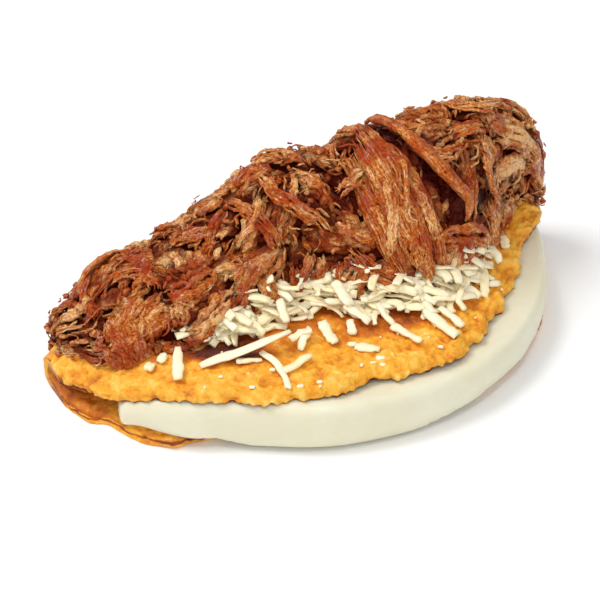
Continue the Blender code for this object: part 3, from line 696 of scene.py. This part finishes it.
# The shreds that stand out: number of fibres, width and lift in mm, tint, and places as (along, across)
standOut = [
    (17, 6.5, 5.0, 0.58, [(0.588, 0.50), (0.582, 0.38), (0.586, 0.27), (0.596, 0.17), (0.612, 0.07)]),
    (15, 6.0, 5.6, 0.64, [(0.606, 0.53), (0.604, 0.40), (0.609, 0.28), (0.621, 0.19), (0.626, 0.11)]),
    (14, 6.0, 4.6, 0.52, [(0.618, 0.44), (0.622, 0.32), (0.634, 0.20), (0.645, 0.12), (0.652, 0.04)]),
    (9, 5.0, 6.2, 0.66, [(0.590, 0.30), (0.606, 0.20), (0.611, 0.11), (0.628, 0.03)]),
    (6, 3.6, 6.6, 0.78, [(0.601, 0.36), (0.592, 0.26), (0.574, 0.17), (0.566, 0.11)]),
    (5, 3.0, 7.0, 0.74, [(0.616, 0.30), (0.630, 0.22), (0.634, 0.13)]),
    (16, 8.0, 4.2, 0.52, [(0.554, 0.46), (0.549, 0.32), (0.561, 0.22), (0.581, 0.10), (0.599, 0.04)]),
    (1, 4.4, 8.4, 0.62, [(0.622, 0.56), (0.644, 0.45), (0.659, 0.345), (0.689, 0.264), (0.712, 0.20),
                         (0.704, 0.15)]),
    (4, 4.6, 7.0, 0.50, [(0.636, 0.50), (0.655, 0.40), (0.676, 0.31), (0.704, 0.24), (0.716, 0.17)]),
    (3, 4.6, 5.0, 0.48, [(0.626, 0.121), (0.655, 0.136), (0.689, 0.131), (0.719, 0.114), (0.745, 0.079),
                         (0.75, 0.01)]),
    (3, 4.0, 2.5, 0.42, [(0.032, 0.62), (0.045, 0.60), (0.055, 0.49), (0.067, 0.39), (0.065, 0.336),
                         (0.045, 0.36)]),
    (1, 2.0, 3.5, 0.20, [(0.073, 0.481), (0.049, 0.588)]),
    (12, 7.5, 3.6, 0.48, [(0.070, 0.281), (0.073, 0.176), (0.080, 0.067), (0.086, -0.05)]),
    (9, 5.0, 3.4, 0.56, [(0.092, 0.24), (0.098, 0.15), (0.101, 0.06), (0.108, -0.03)]),
    (1, 1.8, 3.6, 0.62, [(0.123, 0.198), (0.122, 0.138), (0.120, 0.064)]),
    (7, 5.0, 5.4, 0.50, [(0.499, 0.152), (0.526, 0.107), (0.552, 0.071), (0.582, 0.033), (0.611, 0.014),
                         (0.645, 0.012)]),
    (2, 2.6, 4.0, 0.35, [(0.779, 0.033), (0.827, 0.005), (0.868, -0.04)]),
    (4, 4.0, 5.4, 0.60, [(0.647, 0.393), (0.669, 0.345), (0.709, 0.319), (0.759, 0.317)]),
    (3, 4.0, 5.2, 0.55, [(0.787, 0.293), (0.777, 0.2), (0.793, 0.117)]),
    (1, 2.4, 8.6, 0.75, [(0.622, 0.352), (0.611, 0.283), (0.601, 0.207)]),
    (4, 4.2, 7.2, 0.62, [(0.494, 0.3), (0.534, 0.34), (0.572, 0.357)]),
    (2, 2.6, 5.6, 0.95, [(0.444, 0.381), (0.426, 0.319), (0.449, 0.257)]),
    (7, 6.0, 5.2, 0.50, [(0.33, 0.148), (0.343, 0.062), (0.313, 0.026), (0.271, 0.022)]),
    (6, 5.0, 5.6, 0.46, [(0.399, 0.138), (0.396, 0.086), (0.414, 0.019), (0.449, -0.005), (0.484, 0.0)]),
    (5, 4.4, 4.4, 0.55, [(0.097, 0.429), (0.12, 0.419), (0.143, 0.374), (0.155, 0.29)]),
    (5, 4.6, 4.6, 0.52, [(0.208, 0.448), (0.253, 0.431), (0.288, 0.379)]),
    (5, 4.6, 4.8, 0.50, [(0.318, 0.462), (0.343, 0.367), (0.366, 0.252), (0.376, 0.16)]),
    (5, 4.6, 5.2, 0.58, [(0.384, 0.46), (0.398, 0.345), (0.438, 0.257), (0.481, 0.181)]),
    (4, 4.2, 4.4, 0.50, [(0.863, 0.362), (0.892, 0.276), (0.95, 0.28)]),
    (4, 4.2, 4.8, 0.62, [(0.77, 0.55), (0.787, 0.483), (0.83, 0.426), (0.895, 0.49)]),
]


def smoothRun(values, count):
    spots = np.linspace(0.0, 1.0, len(values))
    fine = np.interp(np.linspace(0.0, 1.0, 61), spots, values)
    soft = np.hanning(15) / np.hanning(15).sum()
    low = np.full(7, fine[0]) - (fine[7:0:-1] - fine[0])
    high = np.full(7, fine[-1]) - (fine[-2:-9:-1] - fine[-1])
    fine = np.convolve(np.concatenate([low, fine, high]), soft, mode="valid")
    return np.interp(np.linspace(0.0, 1.0, count), np.linspace(0.0, 1.0, 61), fine)


def layStandOut(draw):
    rings = 22
    laid = {key: [] for key in ("along", "across", "lift", "width", "thick", "tint")}
    for fibres, width, lift, tint, places in standOut:
        x = smoothRun([place[0] for place in places], rings) * heapSpan
        y = smoothRun([place[1] for place in places], rings) * arc
        turn = np.arctan2(np.gradient(y), np.gradient(x))
        fibres = fibres if fibres == 1 else 2 * fibres
        side = np.sort(draw.uniform(-1.0, 1.0, fibres)) if fibres > 1 else np.zeros(1)
        start = draw.uniform(-1.0, -0.6, (fibres, 1)) if fibres > 1 else -np.ones((1, 1))
        end = draw.uniform(0.6, 1.0, (fibres, 1)) if fibres > 1 else np.ones((1, 1))
        part = mix(start, end, np.linspace(0.0, 1.0, rings)[None])
        x, y, turn = (np.interp(part, np.linspace(-1.0, 1.0, rings), values) for values in (x, y, turn))
        each = 0.001 * (width if fibres == 1 else min(2.0, max(1.05, 2.4 * width / fibres)))
        pinch = 1.0 - 0.35 * np.abs(part) ** 2.5
        offset = 0.0005 * width * side[:, None] * pinch + wander(rings, fibres, 0.0004, draw)
        offset = offset + draw.normal(0.0, beef["jitter"], (fibres, rings))
        offset = np.zeros((1, rings)) if fibres == 1 else offset
        bulge = 0.0003 * width * np.sqrt(1.0 - side ** 2)[:, None]
        height = 0.001 * lift + bulge * draw.uniform(0.4, 1, (fibres, 1))
        height = height - 0.0005 * lift * np.abs(part) ** 4 + wander(rings, fibres, 0.0003, draw)
        swell = taperEnds(rings, fibres, draw, 0.35) * draw.uniform(0.8, 1.2, (fibres, rings))
        laid["along"].append((x - offset * np.sin(turn)) / heapSpan)
        laid["across"].append((y + offset * np.cos(turn)) / arc)
        laid["lift"].append(height)
        laid["width"].append(1.15 * each * swell)
        laid["thick"].append(0.85 * each * swell)
        laid["tint"].append(np.clip(tint - 0.14 + draw.normal(0.0, 0.13, fibres), 0.0, 1.0))
    return {key: np.concatenate(values) for key, values in laid.items()}


def planFringe(draw, count, start, end, low, high):  # short tufts that hang over one of the heap's toes
    tufts = planTufts(draw)
    along = (np.arange(count) + 0.5) / count + draw.normal(0.0, 0.008, count)
    chosen = {key: values[:count] for key, values in tufts.items()}
    chosen["along"] = mix(start, end, along)
    chosen["across"] = draw.uniform(low, high, count)
    chosen["heading"] = draw.normal(-0.5 * math.pi, 0.5, count)
    chosen["length"] = draw.uniform(0.008, 0.018, count)
    chosen["width"] = draw.uniform(0.0035, 0.0080, count)
    chosen["rise"] = draw.uniform(0.0010, 0.0030, count)
    chosen["base"] = draw.uniform(0.0015, 0.0036, count)
    return chosen


def layBeef():
    def seeded(seed):
        return np.random.default_rng(seed)
    sets = {"beefTufts": layTufts(planTufts(seeded(3)), seeded(4))}
    for name, (*plan, seed) in beef["fringes"].items():
        sets[name] = layTufts(planFringe(seeded(seed), *plan), seeded(seed + 1))
    sets["beefBundles"] = layStandOut(seeded(12))
    for name, (*plan, seed) in beef["singles"].items():
        sets[name] = layLoose(*plan, seeded(seed))
    return sets


def cellsUnder(laid):  # the row and column of the ceiling's grid under each ring
    rows, columns = beef["cells"]
    row = laid["along"] * (rows - 1)
    column = (laid["across"] - beef["acrossFrom"]) / beef["acrossSpan"] * (columns - 1)
    return np.clip(row.astype(int), 0, rows - 1), np.clip(column.astype(int), 0, columns - 1)


def ceilingOf(sets):  # how far out the beef reaches over each spot of the heap, on a grid
    rows, columns = beef["cells"]
    grid = np.full((rows, columns), -0.002)
    for laid in sets.values():
        np.maximum.at(grid, cellsUnder(laid), laid["lift"])
    for spread in range(4):
        padded = np.pad(grid, 1, mode="edge")
        near = [padded[1 + i:1 + i + rows, 1 + j:1 + j + columns] for i in (-1, 0, 1) for j in (-1, 0, 1)]
        grid = np.maximum(grid, 0.5 * (np.mean(near, axis=0) + np.max(near, axis=0)))
    return grid


def makeBeef(finish):
    sets = layBeef()
    ceiling = ceilingOf(sets)
    pieces = []
    for name, laid in sets.items():
        sides, lobes = beef["shapes"][name]
        draw = np.random.default_rng(len(name))
        place, out = heapLumpy(laid["along"], laid["across"])
        paths = restOnFlap(place + out * laid["lift"][..., None], 0.4 * laid["thick"])
        # depth: 1 at the beef's top over each spot, 0 from depthRun below it; the finish paints shade from it
        depth = np.clip(1.0 - (ceiling[cellsUnder(laid)] - laid["lift"]) / beef["depthRun"], 0.0, 1.0)
        count = len(paths)
        groups = 1 + count * paths.shape[1] * sides // beef["mostPoints"]
        for group in range(groups):
            chosen = slice(group * count // groups, (group + 1) * count // groups)
            title = name if groups == 1 else f"{name}{group + 1}"
            pieces.append(strands(title, paths[chosen], laid["width"][chosen], laid["thick"][chosen], out[chosen],
                                  sides, lobes, finish, laid["tint"][chosen], depth[chosen], draw,
                                  ragged=beef["ragged"]))
    return pieces


core = {
    "places": (130, 72), "sunk": 0.0012, "baseRows": 12, "behind": 0.0075, "gap": 0.0004, "hang": 0.004,
    "lumps": 0.0006, "grain": 0.0003, "tint": 0.4,
}


def makeCore(finish):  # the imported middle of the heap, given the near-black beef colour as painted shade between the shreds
    rows, columns = core["places"]
    along, across = np.meshgrid(np.linspace(0.003, 0.997, rows), np.linspace(0.0, 1.0, columns), indexing="ij")
    place, out = heapLumpy(along, across)
    place = place - core["sunk"] * out
    x = place[:, :1, 0]
    front = cake["foldY"] - place[:, :1, 1]
    forward = mix(-core["behind"], 0.9 * front, np.linspace(0.0, 1.0, core["baseRows"])[None])
    floor = upperTop(onCake(x), np.maximum(forward, 0.0)) - core["gap"]
    floor = floor - core["hang"] * ease(0.0, -core["behind"], forward)
    piece = wrapGrid("beefCore", np.concatenate([place, placed(x, forward, floor)], axis=1), finish)
    points = coordinates(piece)
    pushOut(piece, core["lumps"] * lumps(points, 0.0030, 9) + core["grain"] * lumps(points, 0.0014, 10))
    store(piece.data, "tint", np.full(len(points), core["tint"]))
    # depth 0 gives the whole core the painted shade colour
    store(piece.data, "depth", np.zeros(len(points)))
    store(piece.data, "grain", points)
    return piece


# Grated cheese: a bank of strips over the flap in front of the beef, under its toe

grated = {
    "strips": 280, "length": (0.010, 0.030), "width": (0.0023, 0.0044), "from": -0.064, "to": 0.060,
    "height": 0.0165, "behind": 0.006, "lowest": 0.0010, "edgeGap": 0.002, "heading": (0.95, 0.75), "tilt": 0.16,
    "thick": (0.44, 0.55), "turning": (1.6, 0.7),  # for the bank, and for the strips that stand out
    "crumbs": 16, "crumbLength": (0.0006, 0.0018), "crumbsFrom": -0.092, "crumbsTo": 0.086,
    "reach": [(-0.064, 0.005), (-0.045, 0.012), (-0.030, 0.018), (-0.010, 0.026), (0.010, 0.026), (0.030, 0.021),
              (0.045, 0.016), (0.060, 0.008)],  # how far the bank comes forward of the beef's toe
}
# Strips that stand out: width in mm, then places as (along the fold, forward of it, above the flap) in mm
standOutStrips = [
    (4.0, [(-70.9, 51.9, 1.2), (-53.3, 55.4, 4.0), (-35.2, 58.0, 8.0)]),
    (4.2, [(-75.2, 41.9, 4.0), (-78.3, 48.1, 2.5), (-81.1, 53.8, 1.0)]),
    (4.5, [(-88.3, 40.6, 1.4), (-86.4, 43.6, 1.2)]),
    (3.6, [(-83.9, 42.1, 1.2), (-79.7, 40.5, 1.5)]),
    (3.8, [(-44.1, 69.0, 1.0), (-37.6, 68.2, 1.2), (-31.2, 66.8, 2.0)]),
    (2.6, [(-47.3, 57.0, 2.0), (-44.4, 63.8, 1.5), (-44.5, 71.4, 1.0), (-46.1, 78.6, 0.7)]),
    (4.2, [(-12.4, 68.4, 1.0), (-4.5, 74.1, 0.8)]),
    (4.8, [(21.5, 63.9, 3.0), (23.8, 72.5, 2.0), (26.8, 79.8, 1.2)]),
    (3.8, [(5.9, 65.2, 2.0), (9.4, 71.6, 1.4), (12.5, 77.2, 1.0)]),
    (3.6, [(27.1, 66.1, 4.0), (29.5, 71.2, 3.0), (31.7, 76.0, 2.0)]),
    (4.0, [(58.2, 47.2, 2.5), (54.3, 55.0, 1.8), (50.5, 62.2, 1.0)]),
    (2.6, [(5.2, 55.1, 6.0), (4.7, 60.9, 4.0), (7.0, 65.6, 2.0)]),
    (4.2, [(21.1, 51.2, 7.0), (27.8, 57.0, 6.0), (34.0, 62.0, 5.0)]),
    (3.6, [(26.2, 61.3, 5.0), (36.3, 62.2, 4.0), (45.9, 62.6, 3.0)]),
    (4.6, [(-19.6, 54.9, 5.0), (-19.6, 59.7, 3.0), (-18.9, 64.3, 1.5)]),
    (4.8, [(-6.3, 40.9, 11.0), (-6.4, 45.4, 10.0), (-6.5, 53.7, 8.0)]),
    (4.0, [(-7.5, 51.5, 7.0), (-4.6, 56.7, 5.0), (-1.7, 61.1, 3.0)]),
    (3.6, [(-8.0, 56.4, 3.0), (-9.8, 62.1, 1.0)]),
    (3.8, [(-30.5, 40.4, 10.0), (-31.5, 44.7, 8.0), (-32.5, 49.6, 6.0)]),
    (4.4, [(-51.8, 42.9, 7.0), (-49.5, 45.6, 6.0), (-44.9, 48.4, 5.0)]),
    (3.4, [(-34.8, 57.1, 3.0), (-29.9, 56.1, 4.0), (-25.5, 57.7, 5.0)]),
    (3.2, [(-32.9, 61.7, 1.0), (-29.7, 58.3, 3.0), (-25.6, 56.2, 5.0)]),
    (2.6, [(-57.7, 56.4, 0.9), (-48.3, 59.8, 0.9)]),
    (3.6, [(78.7, 30.6, 2.0), (76.3, 36.9, 1.2)]),
    (3.0, [(37.4, 68.2, 2.0), (36.5, 64.2, 4.0), (40.5, 60.5, 6.0)]),
]


def makeStrips(finish):
    draw = np.random.default_rng(41)
    rings = 11
    count = grated["strips"]
    index = np.arange(count)
    x = mix(grated["from"], grated["to"], (index + 0.5) / count) + draw.normal(0.0, 0.003, count)
    toe = np.interp(x, fineX, fineRows[1])
    aside = draw.beta(1.3, 2.2, count)
    reachOut = np.interp(x, *np.array(grated["reach"]).T) * mix(0.72, 1.0, 0.5 + 0.5 * alongX(x, 0.013, 44))
    length = draw.uniform(*grated["length"], count) * mix(1.0, 0.75, aside)
    heading = draw.normal(*grated["heading"], count)
    bend = draw.normal(0.0, 1.0, count)
    part = np.linspace(-0.5, 0.5, rings)[None]
    turn = heading[:, None] + bend[:, None] * part
    middle = toe - grated["behind"] + (reachOut + grated["behind"]) * aside
    px = x[:, None] + length[:, None] * part * np.cos(turn)
    forward = middle[:, None] + length[:, None] * part * np.sin(turn)
    level = mix(grated["height"], 0.0012, aside ** 0.8) * draw.uniform(0.15, 1.0, count)
    tilt = draw.normal(0.0, grated["tilt"], count)
    lift = level[:, None] + tilt[:, None] * length[:, None] * part + 0.0012 * np.cos(part * math.pi)
    width = draw.uniform(*grated["width"], count)
    for each, places in standOutStrips:
        a, f, h = (smoothRun([place[column] for place in places], rings) * 0.001 for column in range(3))
        px = np.concatenate([px, a[None]])
        forward = np.concatenate([forward, f[None]])
        lift = np.concatenate([lift, h[None]])
        width = np.append(width, 0.001 * each)
    count = len(width)
    forward = np.minimum(forward, upperReach(px) - grated["edgeGap"])
    height = upperTop(px, forward) + np.maximum(lift, grated["lowest"])
    paths = placed(px, forward, height)
    swell = taperEnds(rings, count, draw, 0.82) * (1.0 + 0.10 * wander(rings, count, 1.0, draw))
    past = forward - np.interp(px, fineX, fineRows[1])
    depth = np.clip(lift / grated["height"] + 1.4 * past / 0.020, 0.0, 1.0)  # painted shade: low strips and those under the beef's toe get a darker warm yellow
    alone = np.arange(count) >= grated["strips"]
    thick = mix(*grated["thick"], alone) * width
    return strands("gratedStrips", paths, width[:, None] * swell, thick[:, None] * swell, upward, 14, 0.06, finish,
                   draw.uniform(0.0, 1.0, count), depth, draw, turning=mix(*grated["turning"], alone)[:, None],
                   ragged=0.00040)


# Crumbs that stand out: along the fold, forward of it and length, in mm
crumbSpots = [
    (-12.5, 66.4, 3.6), (-6.2, 77.8, 3.4), (-10.0, 78.5, 2.2), (-7.1, 81.0, 2.4), (-41.4, 78.0, 2.8),
    (-58.0, 70.5, 2.4), (-34.0, 79.5, 2.4), (-47.0, 66.0, 2.2), (18.0, 82.0, 2.2), (-66.0, 60.0, 1.8),
]


def makeCrumbs(finish):  # scraps of cheese on the flap
    draw = np.random.default_rng(47)
    rings = 5
    count = grated["crumbs"]
    x = draw.uniform(grated["crumbsFrom"], grated["crumbsTo"], count)
    inset = draw.uniform(0.0, 1.0, count) ** 1.4 * 0.026
    forward = upperReach(x) - 0.0015 - inset
    heading = draw.uniform(-3.1, 3.1, count)
    length = draw.uniform(*grated["crumbLength"], count)
    for place, reachOut, long in crumbSpots:
        x = np.append(x, 0.001 * place)
        forward = np.append(forward, 0.001 * reachOut)
        heading = np.append(heading, 0.4)
        length = np.append(length, 0.001 * long)
    count = len(x)
    part = np.linspace(-0.5, 0.5, rings)[None]
    px = x[:, None] + length[:, None] * part * np.cos(heading)[:, None]
    forward = forward[:, None] + length[:, None] * part * np.sin(heading)[:, None]
    height = upperTop(px, np.minimum(forward, upperReach(px))) + 0.0004
    paths = placed(px, forward, height)
    width = (0.75 * length)[:, None] * taperEnds(rings, count, draw, 0.6)
    return strands("cheeseCrumbs", paths, width, 0.8 * width, upward, 7, 0.15, finish,
                   draw.uniform(0.2, 1.0, count), np.ones((count, rings)), draw, ragged=0.00025)


# Finishes

def beefFinish():
    finish = Finish("braisedBeef", Roughness=0.5, Specular_IOR_Level=0.35, Specular_Tint=(1.0, 0.60, 0.38, 1.0),
                    Coat_Roughness=0.16, Coat_IOR=1.5)
    grain = finish.attribute("grain", output=1)
    tint = finish.attribute("tint")
    depth = finish.attribute("depth")
    place = finish.node("ShaderNodeTexCoord", output=3)
    stretched = finish.node("ShaderNodeMapping", None, {"Vector": grain, "Scale": (1500.0, 1500.0, 170.0)})
    fibres = finish.noise(stretched, 1.0, 3.0, 0.6)
    patches = finish.noise(place, 90.0, 3.0, 0.6)
    grains = finish.noise(place, 800.0, 3.0, 0.7)
    wet = finish.noise(place, 260.0, 2.0, 0.5)
    along = finish.node("ShaderNodeSeparateXYZ", None, {0: place})
    shade = tint * 0.52 + patches * 0.70 + fibres * 0.90 + grains * 1.05 - 1.04
    # painted light: the meat is made lighter towards the right end, which the key light from the left lights less
    shade = shade + finish.band(along, 0.02, 0.11) * 0.07
    meat = finish.node("ShaderNodeValToRGB", {"stops": [
        (0.06, (0.14, 0.006, 0.0)), (0.24, (0.37, 0.038, 0.003)), (0.42, (0.53, 0.104, 0.013)),
        (0.60, (0.72, 0.25, 0.055)), (0.80, (0.98, 0.59, 0.25))]}, {0: shade})
    stain = finish.noise(place, 75.0, 3.0, 0.6)
    stewed = finish.blend(finish.band(stain, 0.50, 0.62) * 0.75, meat, (0.40, 0.028, 0.002))
    # painted shade: shreds that lie deep under the others are mixed towards a near-black red
    meatWithPaintedShade = finish.blend(finish.band(depth, 0.08, 0.76), (0.095, 0.002, 0.0), stewed)
    finish.feed("Base Color", meatWithPaintedShade)
    finish.feed("Roughness", 0.58 - grains * 0.4)
    finish.feed("Coat Weight", finish.band(wet, 0.48, 0.60) * finish.band(depth, 0.25, 0.75) * 0.9)
    finish.bump(fibres * 0.8 + grains, 0.0014, 1.0)
    return finish


def cakeFinish():
    finish = Finish("griddledCorn", Roughness=0.6, Specular_IOR_Level=0.35)
    zone = finish.attribute("zone", output=1)
    split = finish.node("ShaderNodeSeparateXYZ", None, {0: zone})
    brown, crumbly, paintedHollowShade = (Wire(finish, split.socket.node.outputs[index]) for index in range(3))
    place = finish.node("ShaderNodeTexCoord", output=3)
    broad = finish.noise(place, 42.0, 3.0, 0.55)
    spots = finish.noise(place, 150.0, 4.0, 0.62)
    fine = finish.noise(place, 700.0, 3.0, 0.65)
    # the zone's third part darkens the crumb colour in the relief's hollows, as painted shade
    crumb = finish.node("ShaderNodeValToRGB", {"stops": [
        (0.14, (0.96, 0.70, 0.25)), (0.30, (0.94, 0.52, 0.07)), (0.48, (0.89, 0.41, 0.028)),
        (0.66, (0.78, 0.28, 0.012)), (0.85, (0.52, 0.14, 0.008))]},
        {0: paintedHollowShade * 0.55 + fine * 0.60 + spots * 0.25 - 0.16})
    griddle = brown + broad * 0.75 + spots * 0.65 + fine * 0.15 - 0.78
    toasted = finish.blend(finish.band(griddle, 0.22, 0.50), crumb, (0.60, 0.155, 0.008))
    browned = finish.blend(finish.band(griddle, 0.48, 0.66), toasted, (0.30, 0.055, 0.008))
    charred = finish.blend(finish.band(griddle, 0.70, 0.88), browned, (0.085, 0.012, 0.004))
    finish.feed("Base Color", charred)
    finish.feed("Roughness", 0.70 - spots * 0.35)
    finish.bump(fine * 0.8 + spots * 0.4, 0.0009, 0.9)
    return finish


def slabFinish():
    finish = Finish("freshCheese", Roughness=0.34, Specular_IOR_Level=0.45, Subsurface_Weight=0.25,
                    Subsurface_Scale=0.004)
    finish.shader.inputs["Subsurface Radius"].default_value = (1.0, 0.8, 0.5)
    place = finish.node("ShaderNodeTexCoord", output=3)
    broad = finish.noise(place, 45.0, 2.0, 0.5)
    fine = finish.noise(place, 300.0, 3.0, 0.6)
    colour = finish.blend(finish.band(broad * 0.7 + fine * 0.3, 0.38, 0.68), (0.74, 0.695, 0.505),
                          (0.77, 0.75, 0.59))
    finish.feed("Base Color", colour)
    finish.feed("Roughness", 0.26 + fine * 0.2)
    finish.bump(fine, 0.00018, 0.5)
    return finish


def gratedFinish():
    finish = Finish("gratedCheese", Roughness=0.3, Specular_IOR_Level=0.45, Subsurface_Weight=0.2,
                    Subsurface_Scale=0.003)
    finish.shader.inputs["Subsurface Radius"].default_value = (1.0, 0.8, 0.45)
    tint = finish.attribute("tint")
    place = finish.node("ShaderNodeTexCoord", output=3)
    fine = finish.noise(place, 420.0, 3.0, 0.6)
    depth = finish.attribute("depth")
    colour = finish.blend(tint * 0.7 + fine * 0.4 - 0.1, (0.95, 0.81, 0.48), (0.97, 0.89, 0.66))
    # painted shade: strips low in the bank or under the beef are mixed towards a darker warm yellow
    finish.feed("Base Color", finish.blend(finish.band(depth, 0.0, 0.7), (0.92, 0.70, 0.34), colour))
    finish.bump(fine, 0.0003, 0.6)
    return finish


# Build everything

meat = beefFinish()
corn = cakeFinish()
white = slabFinish()
gratedWhite = gratedFinish()

cornCake = buildCake(corn)
cheeseSlab = buildSlab(white)
print("cake and slab built")
beefPieces = [makeCore(meat), *makeBeef(meat)]
print("beef built", [len(piece.data.polygons) for piece in beefPieces])
gratedPieces = [makeStrips(gratedWhite), makeCrumbs(gratedWhite)]
print("grated cheese built")

for piece in beefPieces:
    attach(piece, "root")
    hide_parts("shredded_beef")
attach(cornCake, "root")
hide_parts("corn_cake")
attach(cheeseSlab, "root")
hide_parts("cheese_slab")
for piece in gratedPieces:
    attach(piece, "root")
    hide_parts("grated_cheese")


# Stage, lights and camera

stage = {
    "floorSize": 6.0, "floorColour": (0.98, 0.98, 0.98, 1.0),
    "worldStrength": 0.51,
    "azimuth": -28.0, "elevation": 35.0, "distance": 0.9, "lens": 136.0, "sensor": 36.0,
    "target": (-0.0167, 0.0107, 0.030), "lightTarget": (0.0, 0.0, 0.03),
    "lights": {  # place, size and power
        "keyLight": ((-0.7, 0.4, 1.5), 0.9, 16.0),
        "frontLight": ((-0.5, -1.3, 0.9), 1.0, 5.0),
        "sparkleLight": ((-0.15, -0.55, 1.3), 0.22, 3.0),
    },
}


def makeFloor():
    bpy.ops.mesh.primitive_plane_add(size=stage["floorSize"], location=(0.0, 0.0, 0.0))
    floor = bpy.context.object
    floor.name = "floor"
    paint = Finish("floorWhite", Roughness=0.9, Specular_IOR_Level=0.1)
    paint.shader.inputs["Base Color"].default_value = stage["floorColour"]
    floor.data.materials.append(paint.material)
    return floor


def makeLight(name, place, size, power):
    data = bpy.data.lights.new(name, "AREA")
    data.shape = "DISK"
    data.size = size
    data.energy = power
    lamp = bpy.data.objects.new(name, data)
    lamp.location = place
    aim = Vector(stage["lightTarget"]) - Vector(place)
    lamp.rotation_euler = aim.to_track_quat("-Z", "Y").to_euler()
    bpy.context.scene.collection.objects.link(lamp)


def makeCamera():
    turn = math.radians(stage["azimuth"])
    rise = math.radians(stage["elevation"])
    back = Vector((math.sin(turn) * math.cos(rise), -math.cos(turn) * math.cos(rise), math.sin(rise)))
    data = bpy.data.cameras.new("camera")
    data.lens = stage["lens"]
    data.sensor_width = stage["sensor"]
    camera = bpy.data.objects.new("camera", data)
    camera.location = Vector(stage["target"]) + back * stage["distance"]
    camera.rotation_euler = (-back).to_track_quat("-Z", "Y").to_euler()
    bpy.context.scene.collection.objects.link(camera)
    bpy.context.scene.camera = camera


makeFloor()
for lightName, (lightPlace, lightSize, lightPower) in stage["lights"].items():
    makeLight(lightName, lightPlace, lightSize, lightPower)
makeCamera()
world = bpy.data.worlds.new("studio")
world.use_nodes = True
world.node_tree.nodes["Background"].inputs[0].default_value = (1.0, 1.0, 1.0, 1.0)
world.node_tree.nodes["Background"].inputs[1].default_value = stage["worldStrength"]
bpy.context.scene.world = world
bpy.context.scene.view_settings.view_transform = "Standard"
